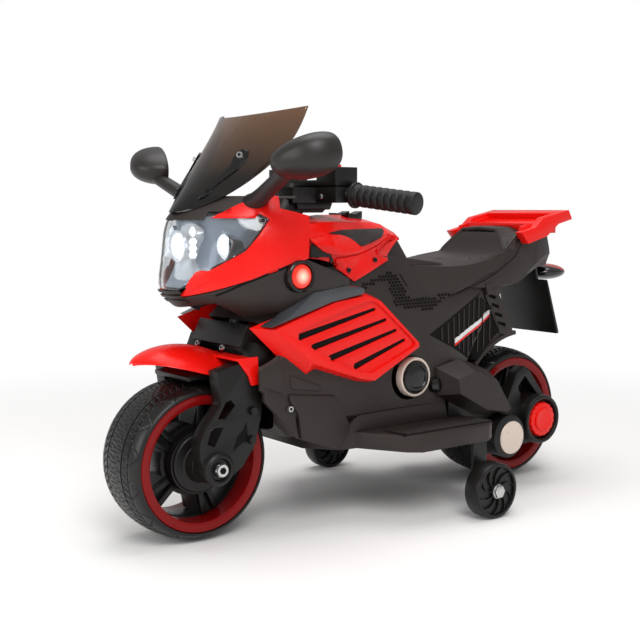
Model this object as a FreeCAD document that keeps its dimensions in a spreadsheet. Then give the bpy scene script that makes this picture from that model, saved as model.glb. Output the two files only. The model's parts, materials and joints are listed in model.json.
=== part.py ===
"""A child's electric motorbike with training wheels, in millimetres.

+X points forwards, +Y to the rider's left and +Z up. The origin is on the ground, under the middle of the bike.
"""
import FreeCAD, Part
import math
import os
import re
from types import SimpleNamespace
import Sketcher
from FreeCAD import Placement, Rotation, Vector

doc = FreeCAD.newDocument("motorbike")
sheet = doc.addObject("Spreadsheet::Sheet", "Sizes")

SIZES = (
    # Shared fits and walls
    ("panel_gap", 0.4),
    ("run_gap", 0.05),
    ("seat_gap", 0.1),
    ("wall", 3),
    ("overrun", 6),
    # Road wheels
    ("front_axle_x", 301),
    ("rear_axle_x", -252),
    ("tyre_radius", 100),
    ("tyre_width", 94),
    ("tread_width", 62),
    ("tread_drop", 3),
    ("shoulder_drop", 11),
    ("bead_radius", 87),
    ("axle_radius", 5),
    ("hub_radius", 40),
    ("hub_width", 70),
    ("spoke_width", 34),
    ("barrel_radius", 79),
    ("barrel_wall", 4),
    ("barrel_width", 90),
    ("ring_depth", 18),
    ("window_inner_radius", 45),
    ("window_outer_radius", 72),
    ("window_inner_angle", 40),
    ("window_outer_angle", 52),
    ("spoke_count", 5),
    # Steering
    ("rake", 26),
    ("leg_inner_y", 58),
    ("leg_thickness", 21),
    ("leg_rise", 150),
    ("leg_depth", 108),
    ("leg_back", 84),
    ("leg_boss_radius", 21),
    ("leg_boss_proud", 4),
    ("bolt_radius", 9),
    ("bolt_head", 6),
    ("bridge_rise", 164),
    ("bridge_depth", 44),
    ("bridge_height", 30),
    ("stem_radius", 12),
    ("stem_top_rise", 384),
    ("head_radius", 25),
    ("head_low_rise", 204),
    ("head_high_rise", 330),
    ("collar_radius", 27),
    ("collar_height", 26),
    ("steer_reach", 91),
    ("steer_top_rise", 186),
    ("wheel_reach", 114),
    # Handlebar
    ("bar_x", 100),
    ("bar_z", 442),
    ("bar_centre_depth", 74),
    ("bar_centre_width", 68),
    ("bar_block_depth", 36),
    ("bar_block_width", 42),
    ("bar_lower_height", 20),
    ("bar_split", 2),
    ("bar_upper_height", 24),
    ("bar_bridge_height", 8),
    ("bar_tube_radius", 10),
    ("grip_radius", 14.5),
    ("grip_groove", 1.8),
    ("grip_flange_radius", 17),
    ("grip_flange", 5),
    ("grip_length", 99),
    ("grip_ribs", 8),
    ("grip_sweep", 15),
    ("grip_droop", 7),
    ("button_radius", 6),
    ("button_height", 9),
    ("button_proud", 4),
    # Front fender
    ("fender_front", 73),
    ("fender_back", 55),
    ("fender_rise", 146),
    ("fender_wall", 3),
    ("fin_front", 26),
    ("fin_back", 72),
    ("fin_low_rise", 98),
    ("fin_high_rise", 133),
    ("fin_root_y", 20),
    # Body halves
    ("body_front_x", 249),
    ("body_back_x", -160),
    ("body_half_width", 94),
    ("body_low_z", 122),
    ("body_high_z", 362),
    ("hugger_radius", 131),
    ("hugger_half_width", 60),
    ("hugger_wall", 6),
    ("hugger_from_angle", 42),
    ("hugger_to_angle", 85),
    ("strut_back_x", -241),
    ("strut_front_x", -162),
    ("strut_low_z", 228),
    ("strut_high_z", 306),
    ("strut_wall", 6),
    ("strut_slots", 4),
    ("strut_slot_height", 5),
    ("hood_steps", 2),
    ("ball_steps", 18),
    # Tank
    ("tank_front_x", 166),
    ("tank_back_x", -20),
    ("tank_half_width", 88),
    ("tank_low_z", 330),
    ("tank_high_z", 406),
    ("tank_neck_radius", 38),
    ("switch_x", 42),
    ("switch_y", 14),
    ("switch_length", 24),
    ("switch_width", 16),
    ("switch_height", 14),
    ("switch_proud", 5),
    ("switch_swing", 1.4),
    ("switch_pivot_radius", 1.5),
    ("switch_pivot_drop", 8),
    ("cheek_thickness", 2.4),
    ("cheek_length", 8),
    ("cheek_drop", 11.5),
    # Seat and tail
    ("seat_front_x", 8),
    ("seat_back_x", -292),
    ("seat_half_width", 80),
    ("seat_low_z", 290),
    ("seat_high_z", 388),
    ("tail_front_x", -118),
    ("tail_back_x", -352),
    ("tail_half_width", 71),
    ("tail_low_z", 282),
    ("tail_high_z", 384),
    ("wing_front_x", -227),
    ("wing_back_x", -340),
    ("wing_half_width", 80),
    ("wing_low_z", 362),
    ("wing_high_z", 412),
    ("wing_arm", 13),
    ("tail_lamp_x", -366),
    ("tail_lamp_radius", 35),
    ("tail_lamp_half_height", 13),
    ("tail_lamp_z", 313),
    ("flap_top_x", -321),
    ("flap_half_width", 52),
    ("flap_low_z", 218),
    ("flap_low_x", -356),
    ("flap_top_z", 340),
    ("flap_thickness", 4),
    # Nose
    ("nose_front_x", 326),
    ("nose_back_x", 120),
    ("nose_half_width", 110),
    ("nose_low_z", 264),
    ("nose_high_z", 430),
    ("lamp_y", 44),
    ("lamp_z", 382),
    ("lamp_radius", 19),
    ("lamp_length", 24),
    ("bulkhead_x", 236),
    ("bulkhead_low_z", 300),
    ("dash_back_x", 190),
    ("indicator_x", 199),
    ("indicator_z", 332),
    ("indicator_radius", 15),
    ("indicator_proud", 6),
    ("indicator_depth", 14),
    ("screen_low_x", 317),
    ("screen_high_x", 221),
    ("screen_low_z", 410),
    ("screen_high_z", 531),
    ("screen_half_width", 97),
    ("screen_sweep", 50),
    ("screen_wall", 2.5),
    ("mirror_x", 246),
    ("mirror_y", 178),
    ("mirror_z", 474),
    ("mirror_half_length", 50),
    ("mirror_half_height", 27),
    ("mirror_face", 8),
    ("mirror_sweep", 20),
    ("mirror_glass", 1.5),
    ("stalk_foot_x", 238),
    ("stalk_foot_y", 64),
    ("stalk_foot_radius", 15),
    ("stalk_foot_height", 8),
    ("stalk_radius", 10),
    ("stalk_tip_radius", 8),
    ("stalk_tip_forward", 8),
    ("stalk_tip_inset", 32),
    # Side panels, belly pan and engine caps
    ("vent_front_x", 262),
    ("vent_back_x", 11),
    ("vent_low_z", 190),
    ("vent_high_z", 311),
    ("vent_depth", 17),
    ("vent_bevel", 9),
    ("vent_slots", 4),
    ("vent_slot_height", 9),
    ("pan_front_x", 152),
    ("pan_back_x", -122),
    ("pan_half_width", 164),
    ("pan_low_z", 100),
    ("engine_x", 4),
    ("engine_z", 186),
    ("engine_seat_y", 87),
    ("engine_ring_radius", 30),
    ("engine_cap_radius", 23),
    ("engine_ring_depth", 15),
    ("engine_cap_depth", 21),
    # Rear arms and drive
    ("arm_front_x", -72),
    ("arm_back_x", -290),
    ("arm_low_z", 54),
    ("arm_high_z", 182),
    ("arm_inner_y", 73),
    ("arm_outer_y", 91),
    ("axle_house_radius", 37),
    ("axle_house_y", 98),
    ("motor_house_radius", 31),
    ("motor_house_y", 117),
    ("motor_radius", 18),
    ("motor_length", 40),
    ("motor_shaft_radius", 2.5),
    ("cap_radius", 27),
    ("cap_depth", 9),
    ("cap_lobes", 8),
    ("cap_lobe_radius", 4),
    ("facet_front_x", -46),
    ("facet_back_x", -186),
    ("facet_low_z", 116),
    ("facet_high_z", 205),
    ("facet_depth", 30),
    ("gear_module", 1.25),
    ("drive_teeth", 60),
    ("idler_small_teeth", 14),
    ("idler_large_teeth", 47),
    ("pinion_teeth", 13),
    ("gear_width", 7),
    ("gear_backlash", 0.25),
    ("gear_step", 1),
    ("drive_gear_y", 59.5),
    ("drive_slope", -9.5),
    ("idler_pin_radius", 3),
    ("gear_boss_radius", 17),
    ("case_inner_y", 49.8),
    ("case_outer_y", 72.6),
    ("case_wall", 2.2),
    ("case_air", 1.5),
    # Training wheels
    ("trainer_x", -66),
    ("trainer_y", 181),
    ("trainer_radius", 38),
    ("trainer_width", 26),
    ("trainer_rim_wall", 8),
    ("trainer_hub_radius", 11),
    ("trainer_web_width", 10),
    ("bracket_width", 26),
    ("bracket_thickness", 4),
    ("bracket_inner_y", 104),
    ("bracket_foot_z", 24),
    ("trainer_bolt_radius", 5),
    ("trainer_shoulder_radius", 9),
    ("trainer_head_radius", 9),
    ("trainer_head", 5),
    # Battery and pedal
    ("battery_length", 100),
    ("battery_width", 70),
    ("battery_height", 72),
    ("battery_x", 56),
    ("pedal_back_x", -34),
    ("pedal_length", 82),
    ("pedal_inner_y", 104),
    ("pedal_width", 42),
    ("pedal_thickness", 5),
    ("pedal_tilt", 9),
)
for row, (alias, number) in enumerate(SIZES, start=1):
    sheet.set(f"A{row}", alias)
    sheet.set(f"B{row}", str(number))
    sheet.setAlias(f"B{row}", alias)
doc.recompute()
size = SimpleNamespace(**{alias: float(sheet.get(alias)) for alias, number in SIZES})

FULL_TURN = 360
QUARTER_TURN = 90
X_AXIS = Vector(1, 0, 0)
Y_AXIS = Vector(0, 1, 0)
Z_AXIS = Vector(0, 0, 1)
nodes = []


def node(piece, name):
    """Give a finished piece the name of its node."""
    piece.Label = name
    nodes.append(piece)
    return piece


def formula(words):
    """Turn a formula in size names into one in cells of the sheet."""
    return re.sub(r"[a-z]\w*", lambda word: "Sizes." + word.group(), words)


def bind(piece, **formulas):
    """Bind properties of a piece to formulas in size names."""
    for name, words in formulas.items():
        piece.setExpression(name.replace("at_", "Placement.Base."), formula(words))
    return piece


def block(name, low, high):
    """A box between two corners, each given as three formulas."""
    box = doc.addObject("Part::Box", name)
    lengths = [f"({top}) - ({bottom})" for bottom, top in zip(low, high)]
    return bind(box, Length=lengths[0], Width=lengths[1], Height=lengths[2],
                at_x=low[0], at_y=low[1], at_z=low[2])


def bar(name, radius, low_y, high_y, x, z):
    """A round bar across the bike, from low_y to high_y."""
    rod = doc.addObject("Part::Cylinder", name)
    rod.Placement = Placement(Vector(), Rotation(X_AXIS, -QUARTER_TURN))
    return bind(rod, Radius=radius, Height=f"({high_y}) - ({low_y})", at_x=x, at_y=low_y, at_z=z)


def hexagon(name, radius, low_y, high_y, x, z):
    """A hexagonal bolt head or nut across the bike."""
    head = doc.addObject("Part::Prism", name)
    head.Polygon = 6
    head.Placement = Placement(Vector(), Rotation(X_AXIS, -QUARTER_TURN))
    return bind(head, Circumradius=radius, Height=f"({high_y}) - ({low_y})", at_x=x, at_y=low_y, at_z=z)


def fuse(name, *pieces):
    joined = doc.addObject("Part::MultiFuse", name)
    joined.Shapes = list(pieces)
    joined.Refine = True
    return joined


def cut(name, base, *tools):
    result = base
    for number, tool in enumerate(tools):
        step = doc.addObject("Part::Cut", f"{name}_{number}")
        step.Base = result
        step.Tool = tool
        result = step
    return result


def mirrored(name, source):
    """The same piece on the other side of the bike."""
    twin = doc.addObject("Part::Mirroring", name)
    twin.Source = source
    twin.Normal = Y_AXIS
    return twin


def pair(name, left):
    """A left piece and its mirror image as two solids of one node."""
    group = doc.addObject("Part::Compound", name)
    group.Links = [left, mirrored(name + "_twin", left)]
    return group


def formed(name, shape):
    """A free-form piece whose shape is made below from the sizes."""
    piece = doc.addObject("Part::Feature", name)
    piece.Shape = shape
    return piece


def between(low, high, share):
    return low + (high - low) * share


def closed(points):
    return Part.makePolygon(list(points) + [points[0]])


def plate(points, low_y, high_y):
    """A flat plate across the bike from an outline of (x, z) points."""
    ring = closed([Vector(x, low_y, z) for x, z in points])
    return Part.Face(ring).extrude(Vector(0, high_y - low_y, 0))


def outline(low_x, high_x, low_z, high_z, shares):
    """Outline points from their shares of the box that the piece fills."""
    return [(between(low_x, high_x, along), between(low_z, high_z, up)) for along, up in shares]


def steering_place(forward, across, rise):
    """A point given along the steering axis, which passes through the front axle."""
    lean = math.radians(size.rake)
    return Vector(size.front_axle_x + forward * math.cos(lean) - rise * math.sin(lean), across,
                  size.tyre_radius + forward * math.sin(lean) + rise * math.cos(lean))


def steering_turn():
    return Rotation(Y_AXIS, -size.rake)


def steering_round(radius, low_rise, high_rise):
    """A round solid about the steering axis."""
    axis = steering_place(0, 0, high_rise) - steering_place(0, 0, low_rise)
    return Part.makeCylinder(radius, axis.Length, steering_place(0, 0, low_rise), axis)


def sketch(body, plane, name):
    face = next(part for part in body.Origin.OriginFeatures if part.Role == plane)
    drawing = body.newObject("Sketcher::SketchObject", name)
    drawing.AttachmentSupport = (face, [""])
    drawing.MapMode = "FlatFace"
    return drawing


def draw_lines(drawing, points):
    for start, end in zip(points, points[1:] + points[:1]):
        drawing.addGeometry(Part.LineSegment(Vector(*start, 0), Vector(*end, 0)), False)


def draw_circle(drawing, radius, across=0, up=0):
    """A circle whose radius is bound to a cell."""
    ring = drawing.addGeometry(Part.Circle(Vector(across, up, 0), Z_AXIS, size.wall), False)
    name = f"radius_{ring}"
    number = drawing.addConstraint(Sketcher.Constraint("Radius", ring, size.wall))
    drawing.renameConstraint(number, name)
    drawing.setExpression(f"Constraints.{name}", formula(radius))


def feature(body, kind, name, profile, **formulas):
    """A pad, pocket or revolution of a sketch, with its sizes bound to the sheet."""
    step = body.newObject("PartDesign::" + kind, name)
    step.Profile = profile
    bind(step, **formulas)
    return step


def new_body(name):
    return doc.addObject("PartDesign::Body", name)


# Road wheels
shoulder_bulge_share = 0.68


def revolved_body(name, profile):
    """A ring turned about the wheel axis from its (across, radius) profile."""
    body = new_body(name)
    drawing = sketch(body, "YZ_Plane", name + "_profile")
    draw_lines(drawing, profile)
    turned = feature(body, "Revolution", name + "_turned", drawing)
    turned.ReferenceAxis = (drawing, ["H_Axis"])
    turned.Angle = FULL_TURN
    return body


def tyre(name, axle_x):
    """Moulded tyre with a round tread between two shoulders."""
    body = new_body(name)
    drawing = sketch(body, "YZ_Plane", name + "_profile")
    half, tread = size.tyre_width / 2, size.tread_width / 2
    edge, crown = size.tyre_radius - size.shoulder_drop, size.tyre_radius - size.tread_drop
    middle = ((half + tread) / 2, between(edge, crown, shoulder_bulge_share))
    for side in (-1, 1):
        corner = Vector(side * half, edge, 0)
        drawing.addGeometry(Part.LineSegment(Vector(side * half, size.bead_radius, 0), corner), False)
        drawing.addGeometry(Part.Arc(corner, Vector(side * middle[0], middle[1], 0),
                                     Vector(side * tread, crown, 0)), False)
    drawing.addGeometry(Part.Arc(Vector(-tread, crown, 0), Vector(0, size.tyre_radius, 0),
                                 Vector(tread, crown, 0)), False)
    drawing.addGeometry(Part.LineSegment(Vector(-half, size.bead_radius, 0),
                                         Vector(half, size.bead_radius, 0)), False)
    turned = feature(body, "Revolution", name + "_turned", drawing)
    turned.ReferenceAxis = (drawing, ["H_Axis"])
    turned.Angle = FULL_TURN
    return bind(body, at_x=axle_x, at_z="tyre_radius")


def symmetric(points):
    """A closed profile from its half on the left."""
    return points + [(-across, radius) for across, radius in reversed(points)]


def cut_windows(body, name, inner, outer, inner_angle, outer_angle, count, depth):
    """Windows between the spokes of a wheel, bounded by two arcs."""
    drawing = sketch(body, "XZ_Plane", name + "_window")
    corners = []
    for radius, angle in ((inner, inner_angle), (outer, outer_angle)):
        half = math.radians(angle) / 2
        ends = [Vector(radius * math.cos(turn), radius * math.sin(turn), 0) for turn in (-half, half)]
        drawing.addGeometry(Part.Arc(ends[0], Vector(radius, 0, 0), ends[1]), False)
        corners.append(ends)
    for low, high in zip(*corners):
        drawing.addGeometry(Part.LineSegment(low, high), False)
    hole = feature(body, "Pocket", name + "_pocket", drawing, Length=depth)
    hole.SideType = "Symmetric"
    ring = body.newObject("PartDesign::PolarPattern", name + "_windows")
    ring.Originals = [hole]
    ring.Axis = (drawing, ["N_Axis"])
    ring.Angle = FULL_TURN
    ring.setExpression("Occurrences", formula(count))
    body.Tip = ring


def rim(name, axle_x):
    """Spoked rim: hub drum, spokes, barrel and the seat of the tyre."""
    seat = size.bead_radius - size.seat_gap
    seat_half = size.barrel_width / 2 - size.ring_depth
    body = revolved_body(name, symmetric([
        (size.hub_width / 2, size.axle_radius + size.run_gap),
        (size.hub_width / 2, size.hub_radius),
        (size.spoke_width / 2, size.hub_radius),
        (size.spoke_width / 2, size.barrel_radius - size.barrel_wall),
        (size.barrel_width / 2, size.barrel_radius - size.barrel_wall),
        (size.barrel_width / 2, size.barrel_radius),
        (seat_half, size.barrel_radius),
        (seat_half, seat),
    ]))
    cut_windows(body, name, size.window_inner_radius, size.window_outer_radius, size.window_inner_angle,
                size.window_outer_angle, "spoke_count", "tyre_width")
    return bind(body, at_x=axle_x, at_z="tyre_radius")


def rim_ring(name, axle_x):
    """Red ring that closes the gap between barrel and tyre on one side."""
    inner = size.barrel_radius + size.seat_gap
    outer = size.bead_radius - size.seat_gap
    start = size.barrel_width / 2 - size.ring_depth + size.seat_gap
    end = size.barrel_width / 2
    body = revolved_body(name, [(start, inner), (start, outer), (end, outer), (end, inner)])
    return bind(body, at_x=axle_x, at_z="tyre_radius")


for place in ("front", "rear"):
    node(tyre(f"{place}_tyre_body", f"{place}_axle_x"), f"{place}_tyre")
    node(rim(f"{place}_rim_body", f"{place}_axle_x"), f"{place}_rim")
    node(pair(f"{place}_rings", rim_ring(f"{place}_ring_body", f"{place}_axle_x")), f"{place}_rim_rings")

# Front axle: a bolt through both fork legs
leg_outer = "leg_inner_y + leg_thickness + leg_boss_proud"
bolt_end = leg_outer + " + bolt_head"
node(fuse("front_bolt",
          bar("front_rod", "axle_radius", f"-({leg_outer})", leg_outer, "front_axle_x", "tyre_radius"),
          hexagon("front_head", "bolt_radius", leg_outer, bolt_end, "front_axle_x", "tyre_radius"),
          hexagon("front_nut", "bolt_radius", f"-({bolt_end})", f"-({leg_outer})", "front_axle_x",
                  "tyre_radius")),
     "front_axle")

# Fork leg: a moulded plate with two slots, a boss for the axle and a tab beside the bridge
LEG_SHARES = ((0.77, 0.79), (0.54, 0.83), (0.33, 0.86), (0.25, 1.0), (0.04, 0.95), (0.0, 0.8), (0.15, 0.63),
              (0.19, 0.37), (0.29, 0.13), (0.45, -0.02), (0.68, -0.12), (0.92, -0.07), (1.0, 0.1),
              (1.0, 0.22), (0.93, 0.33), (0.72, 0.51))
SLOT_SHARES = (((0.66, 0.54), (0.593, 0.553), (0.537, 0.5), (0.667, 0.4), (0.769, 0.407)),
               ((0.796, 0.34), (0.694, 0.333), (0.815, 0.18), (0.907, 0.213), (0.861, 0.32)))


def leg_points(shares):
    return [(-size.leg_back + along * size.leg_depth, up * size.leg_rise) for along, up in shares]


leg = new_body("leg_body")
leg_sketch = sketch(leg, "XZ_Plane", "leg_outline")
draw_lines(leg_sketch, leg_points(LEG_SHARES))
feature(leg, "Pad", "leg_plate", leg_sketch, Length="leg_thickness").Reversed = True
boss_sketch = sketch(leg, "XZ_Plane", "leg_boss_outline")
draw_circle(boss_sketch, "leg_boss_radius")
boss = feature(leg, "Pad", "leg_boss", boss_sketch, Length="leg_thickness + leg_boss_proud",
               Length2="leg_inner_y - hub_width / 2 - panel_gap")
boss.SideType = "Two sides"
boss.Reversed = True
slot_sketch = sketch(leg, "XZ_Plane", "leg_slots_outline")
for slot in SLOT_SHARES:
    draw_lines(slot_sketch, leg_points(slot))
bore_sketch = sketch(leg, "XZ_Plane", "leg_bore_outline")
draw_circle(bore_sketch, "axle_radius + seat_gap")
for cut_name, cut_profile in (("leg_slots", slot_sketch), ("leg_bore", bore_sketch)):
    feature(leg, "Pocket", cut_name, cut_profile, Length="tyre_width * 2").SideType = "Symmetric"
bind(leg, at_x="front_axle_x", at_y="leg_inner_y", at_z="tyre_radius")
node(leg, "fork_leg_left")
node(mirrored("leg_twin", leg), "fork_leg_right")

# Fork bridge and steering stem, square to the steering axis
bridge_half = size.leg_inner_y - size.seat_gap
bridge = doc.addObject("Part::Box", "bridge_block")
bind(bridge, Length="bridge_depth", Width="2 * (leg_inner_y - seat_gap)", Height="bridge_height")
bridge_corner = steering_place(-size.bridge_depth / 2, -bridge_half, size.bridge_rise - size.bridge_height / 2)
bridge.Placement = Placement(bridge_corner, steering_turn())
bridge_bore = formed("bridge_bore", steering_round(size.stem_radius + size.seat_gap, 0, size.stem_top_rise))
node(cut("bridge_bored", bridge, bridge_bore), "fork_bridge")

stem = doc.addObject("Part::Cylinder", "stem_rod")
stem_foot = size.bridge_rise - size.bridge_height / 2
bind(stem, Radius="stem_radius", Height="stem_top_rise - bridge_rise + bridge_height / 2")
stem.Placement = Placement(steering_place(0, 0, stem_foot), steering_turn())
collar = formed("stem_collar", steering_round(size.collar_radius, size.head_high_rise + size.panel_gap,
                                              size.head_high_rise + size.panel_gap + size.collar_height))
node(fuse("stem_with_collar", stem, collar), "steering_stem")

# Handlebar: a lower moulding with two tubes, and a cover clamped over it
block_end = size.bar_centre_width / 2 + size.bar_block_width
bar_heading = Vector(-math.tan(math.radians(size.grip_sweep)), 1, -math.tan(math.radians(size.grip_droop)))
bar_heading.normalize()
flange_lean = size.grip_flange_radius * math.tan(math.radians(size.grip_sweep))
grip_start = Vector(size.bar_x - size.bar_block_depth / 4, block_end + flange_lean,
                    size.bar_z - size.bar_lower_height / 2)
bar_back = "bar_x - bar_block_depth / 2"
bar_front = "bar_x + bar_block_depth / 2"
lower_z = "bar_z - bar_lower_height"
block_in = "bar_centre_width / 2"
block_out = "bar_centre_width / 2 + bar_block_width"
centre_box = block("bar_centre", (bar_back, "-" + block_in, lower_z),
                   ("bar_x - bar_block_depth / 2 + bar_centre_depth", block_in, "bar_z"))
lower_box = block("bar_lower", (bar_back, f"-({block_out})", lower_z), (bar_front, block_out, "bar_z"))
tubes = []
for side in (-1, 1):
    heading = Vector(bar_heading.x, side * bar_heading.y, bar_heading.z)
    foot = Vector(grip_start.x, side * grip_start.y, grip_start.z) - heading * size.bar_tube_radius
    tube = doc.addObject("Part::Cylinder", f"bar_tube_{len(tubes)}")
    bind(tube, Radius="bar_tube_radius", Height="grip_length + bar_tube_radius - grip_flange")
    tube.Placement = Placement(foot, Rotation(Z_AXIS, heading))
    tubes.append(tube)
stem_room = formed("bar_stem_room", steering_round(size.stem_radius + size.seat_gap, 0, size.stem_top_rise))
collar_room = formed("bar_collar_room", steering_round(
    size.collar_radius + size.seat_gap, 0, size.head_high_rise + size.collar_height + size.panel_gap * 2))
node(cut("bar_bored", fuse("bar_solid", centre_box, lower_box, *tubes), stem_room, collar_room), "handlebar")

cover_low = "bar_z + bar_split"
cover_high = cover_low + " + bar_upper_height"
cover_parts = []
for side, low, high in (("left", block_in, block_out), ("right", f"-({block_out})", "-" + block_in)):
    cover_parts.append(block(f"cover_{side}", (bar_back, low, cover_low), (bar_front, high, cover_high)))
cover_parts.append(block("cover_middle", (bar_back, "-" + block_in, cover_low),
                         (bar_front, block_in, cover_low + " + bar_bridge_height")))
button_y = size.bar_centre_width / 2 + size.bar_block_width / 2
button_top = size.bar_z + size.bar_split + size.bar_upper_height
button_wells = []
for side in (-1, 1):
    well = doc.addObject("Part::Cylinder", f"button_well_{len(button_wells)}")
    bind(well, Radius="button_radius + panel_gap", Height="button_height + overrun")
    well.Placement = Placement(Vector(size.bar_x, side * button_y, button_top - size.button_height), Rotation())
    button_wells.append(well)
node(cut("cover_bored", fuse("cover_solid", *cover_parts), *button_wells), "handlebar_cover")
for name, side in (("horn_button", 1), ("music_button", -1)):
    button = doc.addObject("Part::Cylinder", name + "_plunger")
    bind(button, Radius="button_radius", Height="button_height")
    button.Placement = Placement(
        Vector(size.bar_x, side * button_y, button_top + size.button_proud - size.button_height), Rotation())
    node(button, name)

# Ribbed grip with a flange at its inner end
grip = new_body("grip_body")
grip_sketch = sketch(grip, "YZ_Plane", "grip_profile")
grip_bore = size.bar_tube_radius + size.seat_gap
rib_pitch = (size.grip_length - 3 * size.grip_flange) / size.grip_ribs
profile = [(size.panel_gap, grip_bore), (size.panel_gap, size.grip_flange_radius),
           (size.grip_flange, size.grip_flange_radius), (size.grip_flange, size.grip_radius)]
for rib in range(int(size.grip_ribs)):
    start = size.grip_flange * 2 + rib * rib_pitch
    profile += [(start, size.grip_radius), (start + rib_pitch / 4, size.grip_radius - size.grip_groove),
                (start + rib_pitch / 2, size.grip_radius)]
profile += [(size.grip_length - size.grip_groove, size.grip_radius),
            (size.grip_length, size.grip_radius - size.grip_groove), (size.grip_length, 0),
            (size.grip_length - size.grip_flange + size.seat_gap, 0),
            (size.grip_length - size.grip_flange + size.seat_gap, grip_bore)]
draw_lines(grip_sketch, profile)
grip_turned = feature(grip, "Revolution", "grip_turned", grip_sketch)
grip_turned.ReferenceAxis = (grip_sketch, ["H_Axis"])
grip_turned.Angle = FULL_TURN
grip.Placement = Placement(grip_start, Rotation(Y_AXIS, bar_heading))
node(grip, "grip_left")
node(mirrored("grip_twin", grip), "grip_right")

# Front fender: an arched shell with a beak, and a fin outside each fork leg
FENDER_SHARES = ((0.0, 1.0, 0.885, 0.67), (0.26, 1.0, 0.965, 0.73), (0.53, 0.93, 1.0, 0.8),
                 (0.82, 0.62, 0.962, 0.86), (1.0, 0.1, 0.885, 0.85))


def arch(x, half, crown, edge, thickness):
    """A thin arched section across the bike."""
    outer = Part.Arc(Vector(x, -half, edge), Vector(x, 0, crown), Vector(x, half, edge)).toShape()
    room = min(thickness, half / 2)
    inner = Part.Arc(Vector(x, half - room, edge), Vector(x, 0, crown - thickness),
                     Vector(x, room - half, edge)).toShape()
    ends = [Part.makeLine(Vector(x, half, edge), Vector(x, half - room, edge)),
            Part.makeLine(Vector(x, room - half, edge), Vector(x, -half, edge))]
    return Part.Wire([outer, ends[0], inner, ends[1]])


fender_half = size.leg_inner_y - size.panel_gap
fender_shell = Part.makeLoft(
    [arch(between(size.front_axle_x - size.fender_back, size.front_axle_x + size.fender_front, along),
          half * fender_half, size.tyre_radius + crown * size.fender_rise,
          size.tyre_radius + edge * size.fender_rise, size.fender_wall)
     for along, half, crown, edge in FENDER_SHARES], True, False)
fin_inner = size.leg_inner_y + size.leg_thickness + size.panel_gap
FIN_SHARES = ((0.0, 1.0), (1.0, 1.0), (0.62, 0.35), (0.52, 0.0), (0.3, 0.02), (0.22, 0.45))
fin_points = outline(size.front_axle_x - size.fin_back, size.front_axle_x - size.fin_front,
                     size.tyre_radius + size.fin_low_rise, size.tyre_radius + size.fin_high_rise, FIN_SHARES)
fin_top = size.tyre_radius + size.fin_high_rise
leg_tab_front = size.front_axle_x - size.leg_back + LEG_SHARES[2][0] * size.leg_depth + size.panel_gap
for side in (-1, 1):
    fin = plate(fin_points, side * fin_inner, side * (fin_inner + size.fender_wall))
    shelf = Part.makeBox(size.front_axle_x - size.fin_front - leg_tab_front,
                         fin_inner + size.fender_wall - size.fin_root_y, size.fender_wall,
                         Vector(leg_tab_front, size.fin_root_y, fin_top - size.fender_wall))
    if side < 0:
        shelf = shelf.mirror(Vector(), Y_AXIS)
    fender_shell = fender_shell.fuse([fin, shelf])
node(formed("fender_shell", fender_shell.removeSplitter()), "front_fender")


# Hoods: shells whose cross-sections are chains from a lower edge up to the middle of the top
def eased(before, low, high, after, share):
    """A smooth value between low and high that follows their neighbours and stays between them."""
    slope_in, slope_out = (high - before) / 2, (after - low) / 2
    square, cube = share ** 2, share ** 3
    value = (low * (2 * cube - 3 * square + 1) + slope_in * (cube - 2 * square + share)
             + high * (3 * square - 2 * cube) + slope_out * (cube - square))
    return min(max(value, min(low, high)), max(low, high))


def smooth_table(table):
    """The sections of a table with eased sections between them."""
    flat = [[along] + [value for point in chain for value in point] for along, chain in table]
    rows = []
    for number in range(len(flat) - 1):
        around = [flat[max(0, min(len(flat) - 1, number + step))] for step in (-1, 0, 1, 2)]
        for part in range(int(size.hood_steps)):
            share = part / size.hood_steps
            row = [eased(*values, share) for values in zip(*around)]
            row[0] = between(around[1][0], around[2][0], share)
            rows.append(row)
    rows.append(flat[-1])
    return [(row[0], list(zip(row[1::2], row[2::2]))) for row in rows]


def hood(box, table, grow=0, drop=0):
    """A closed solid under a hood, grown outwards by grow, with its lower edge moved down by drop."""
    low_x, high_x, half_width, low_z, high_z = box
    rings = []
    rows = smooth_table(table)
    for number, (along, chain) in enumerate(rows):
        x = between(low_x, high_x, along)
        if number == 0:
            x -= grow
        if number == len(rows) - 1:
            x += grow
        left = []
        for step, (across, up) in enumerate(chain):
            y = across * half_width
            z = between(low_z, high_z, up) + grow
            if step == 0:
                z -= grow + drop
            if y > 0:
                y += grow
            left.append((y, z))
        right = [(-y, z) for y, z in reversed(left) if y > 0]
        rings.append(closed([Vector(x, y, z) for y, z in left + right]))
    return Part.makeLoft(rings, True, True)


def hood_shell(box, table):
    """A moulded hood of even wall, open at its lower edge."""
    return hood(box, table).cut(hood(box, table, -size.wall, size.wall + size.overrun))


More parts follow.
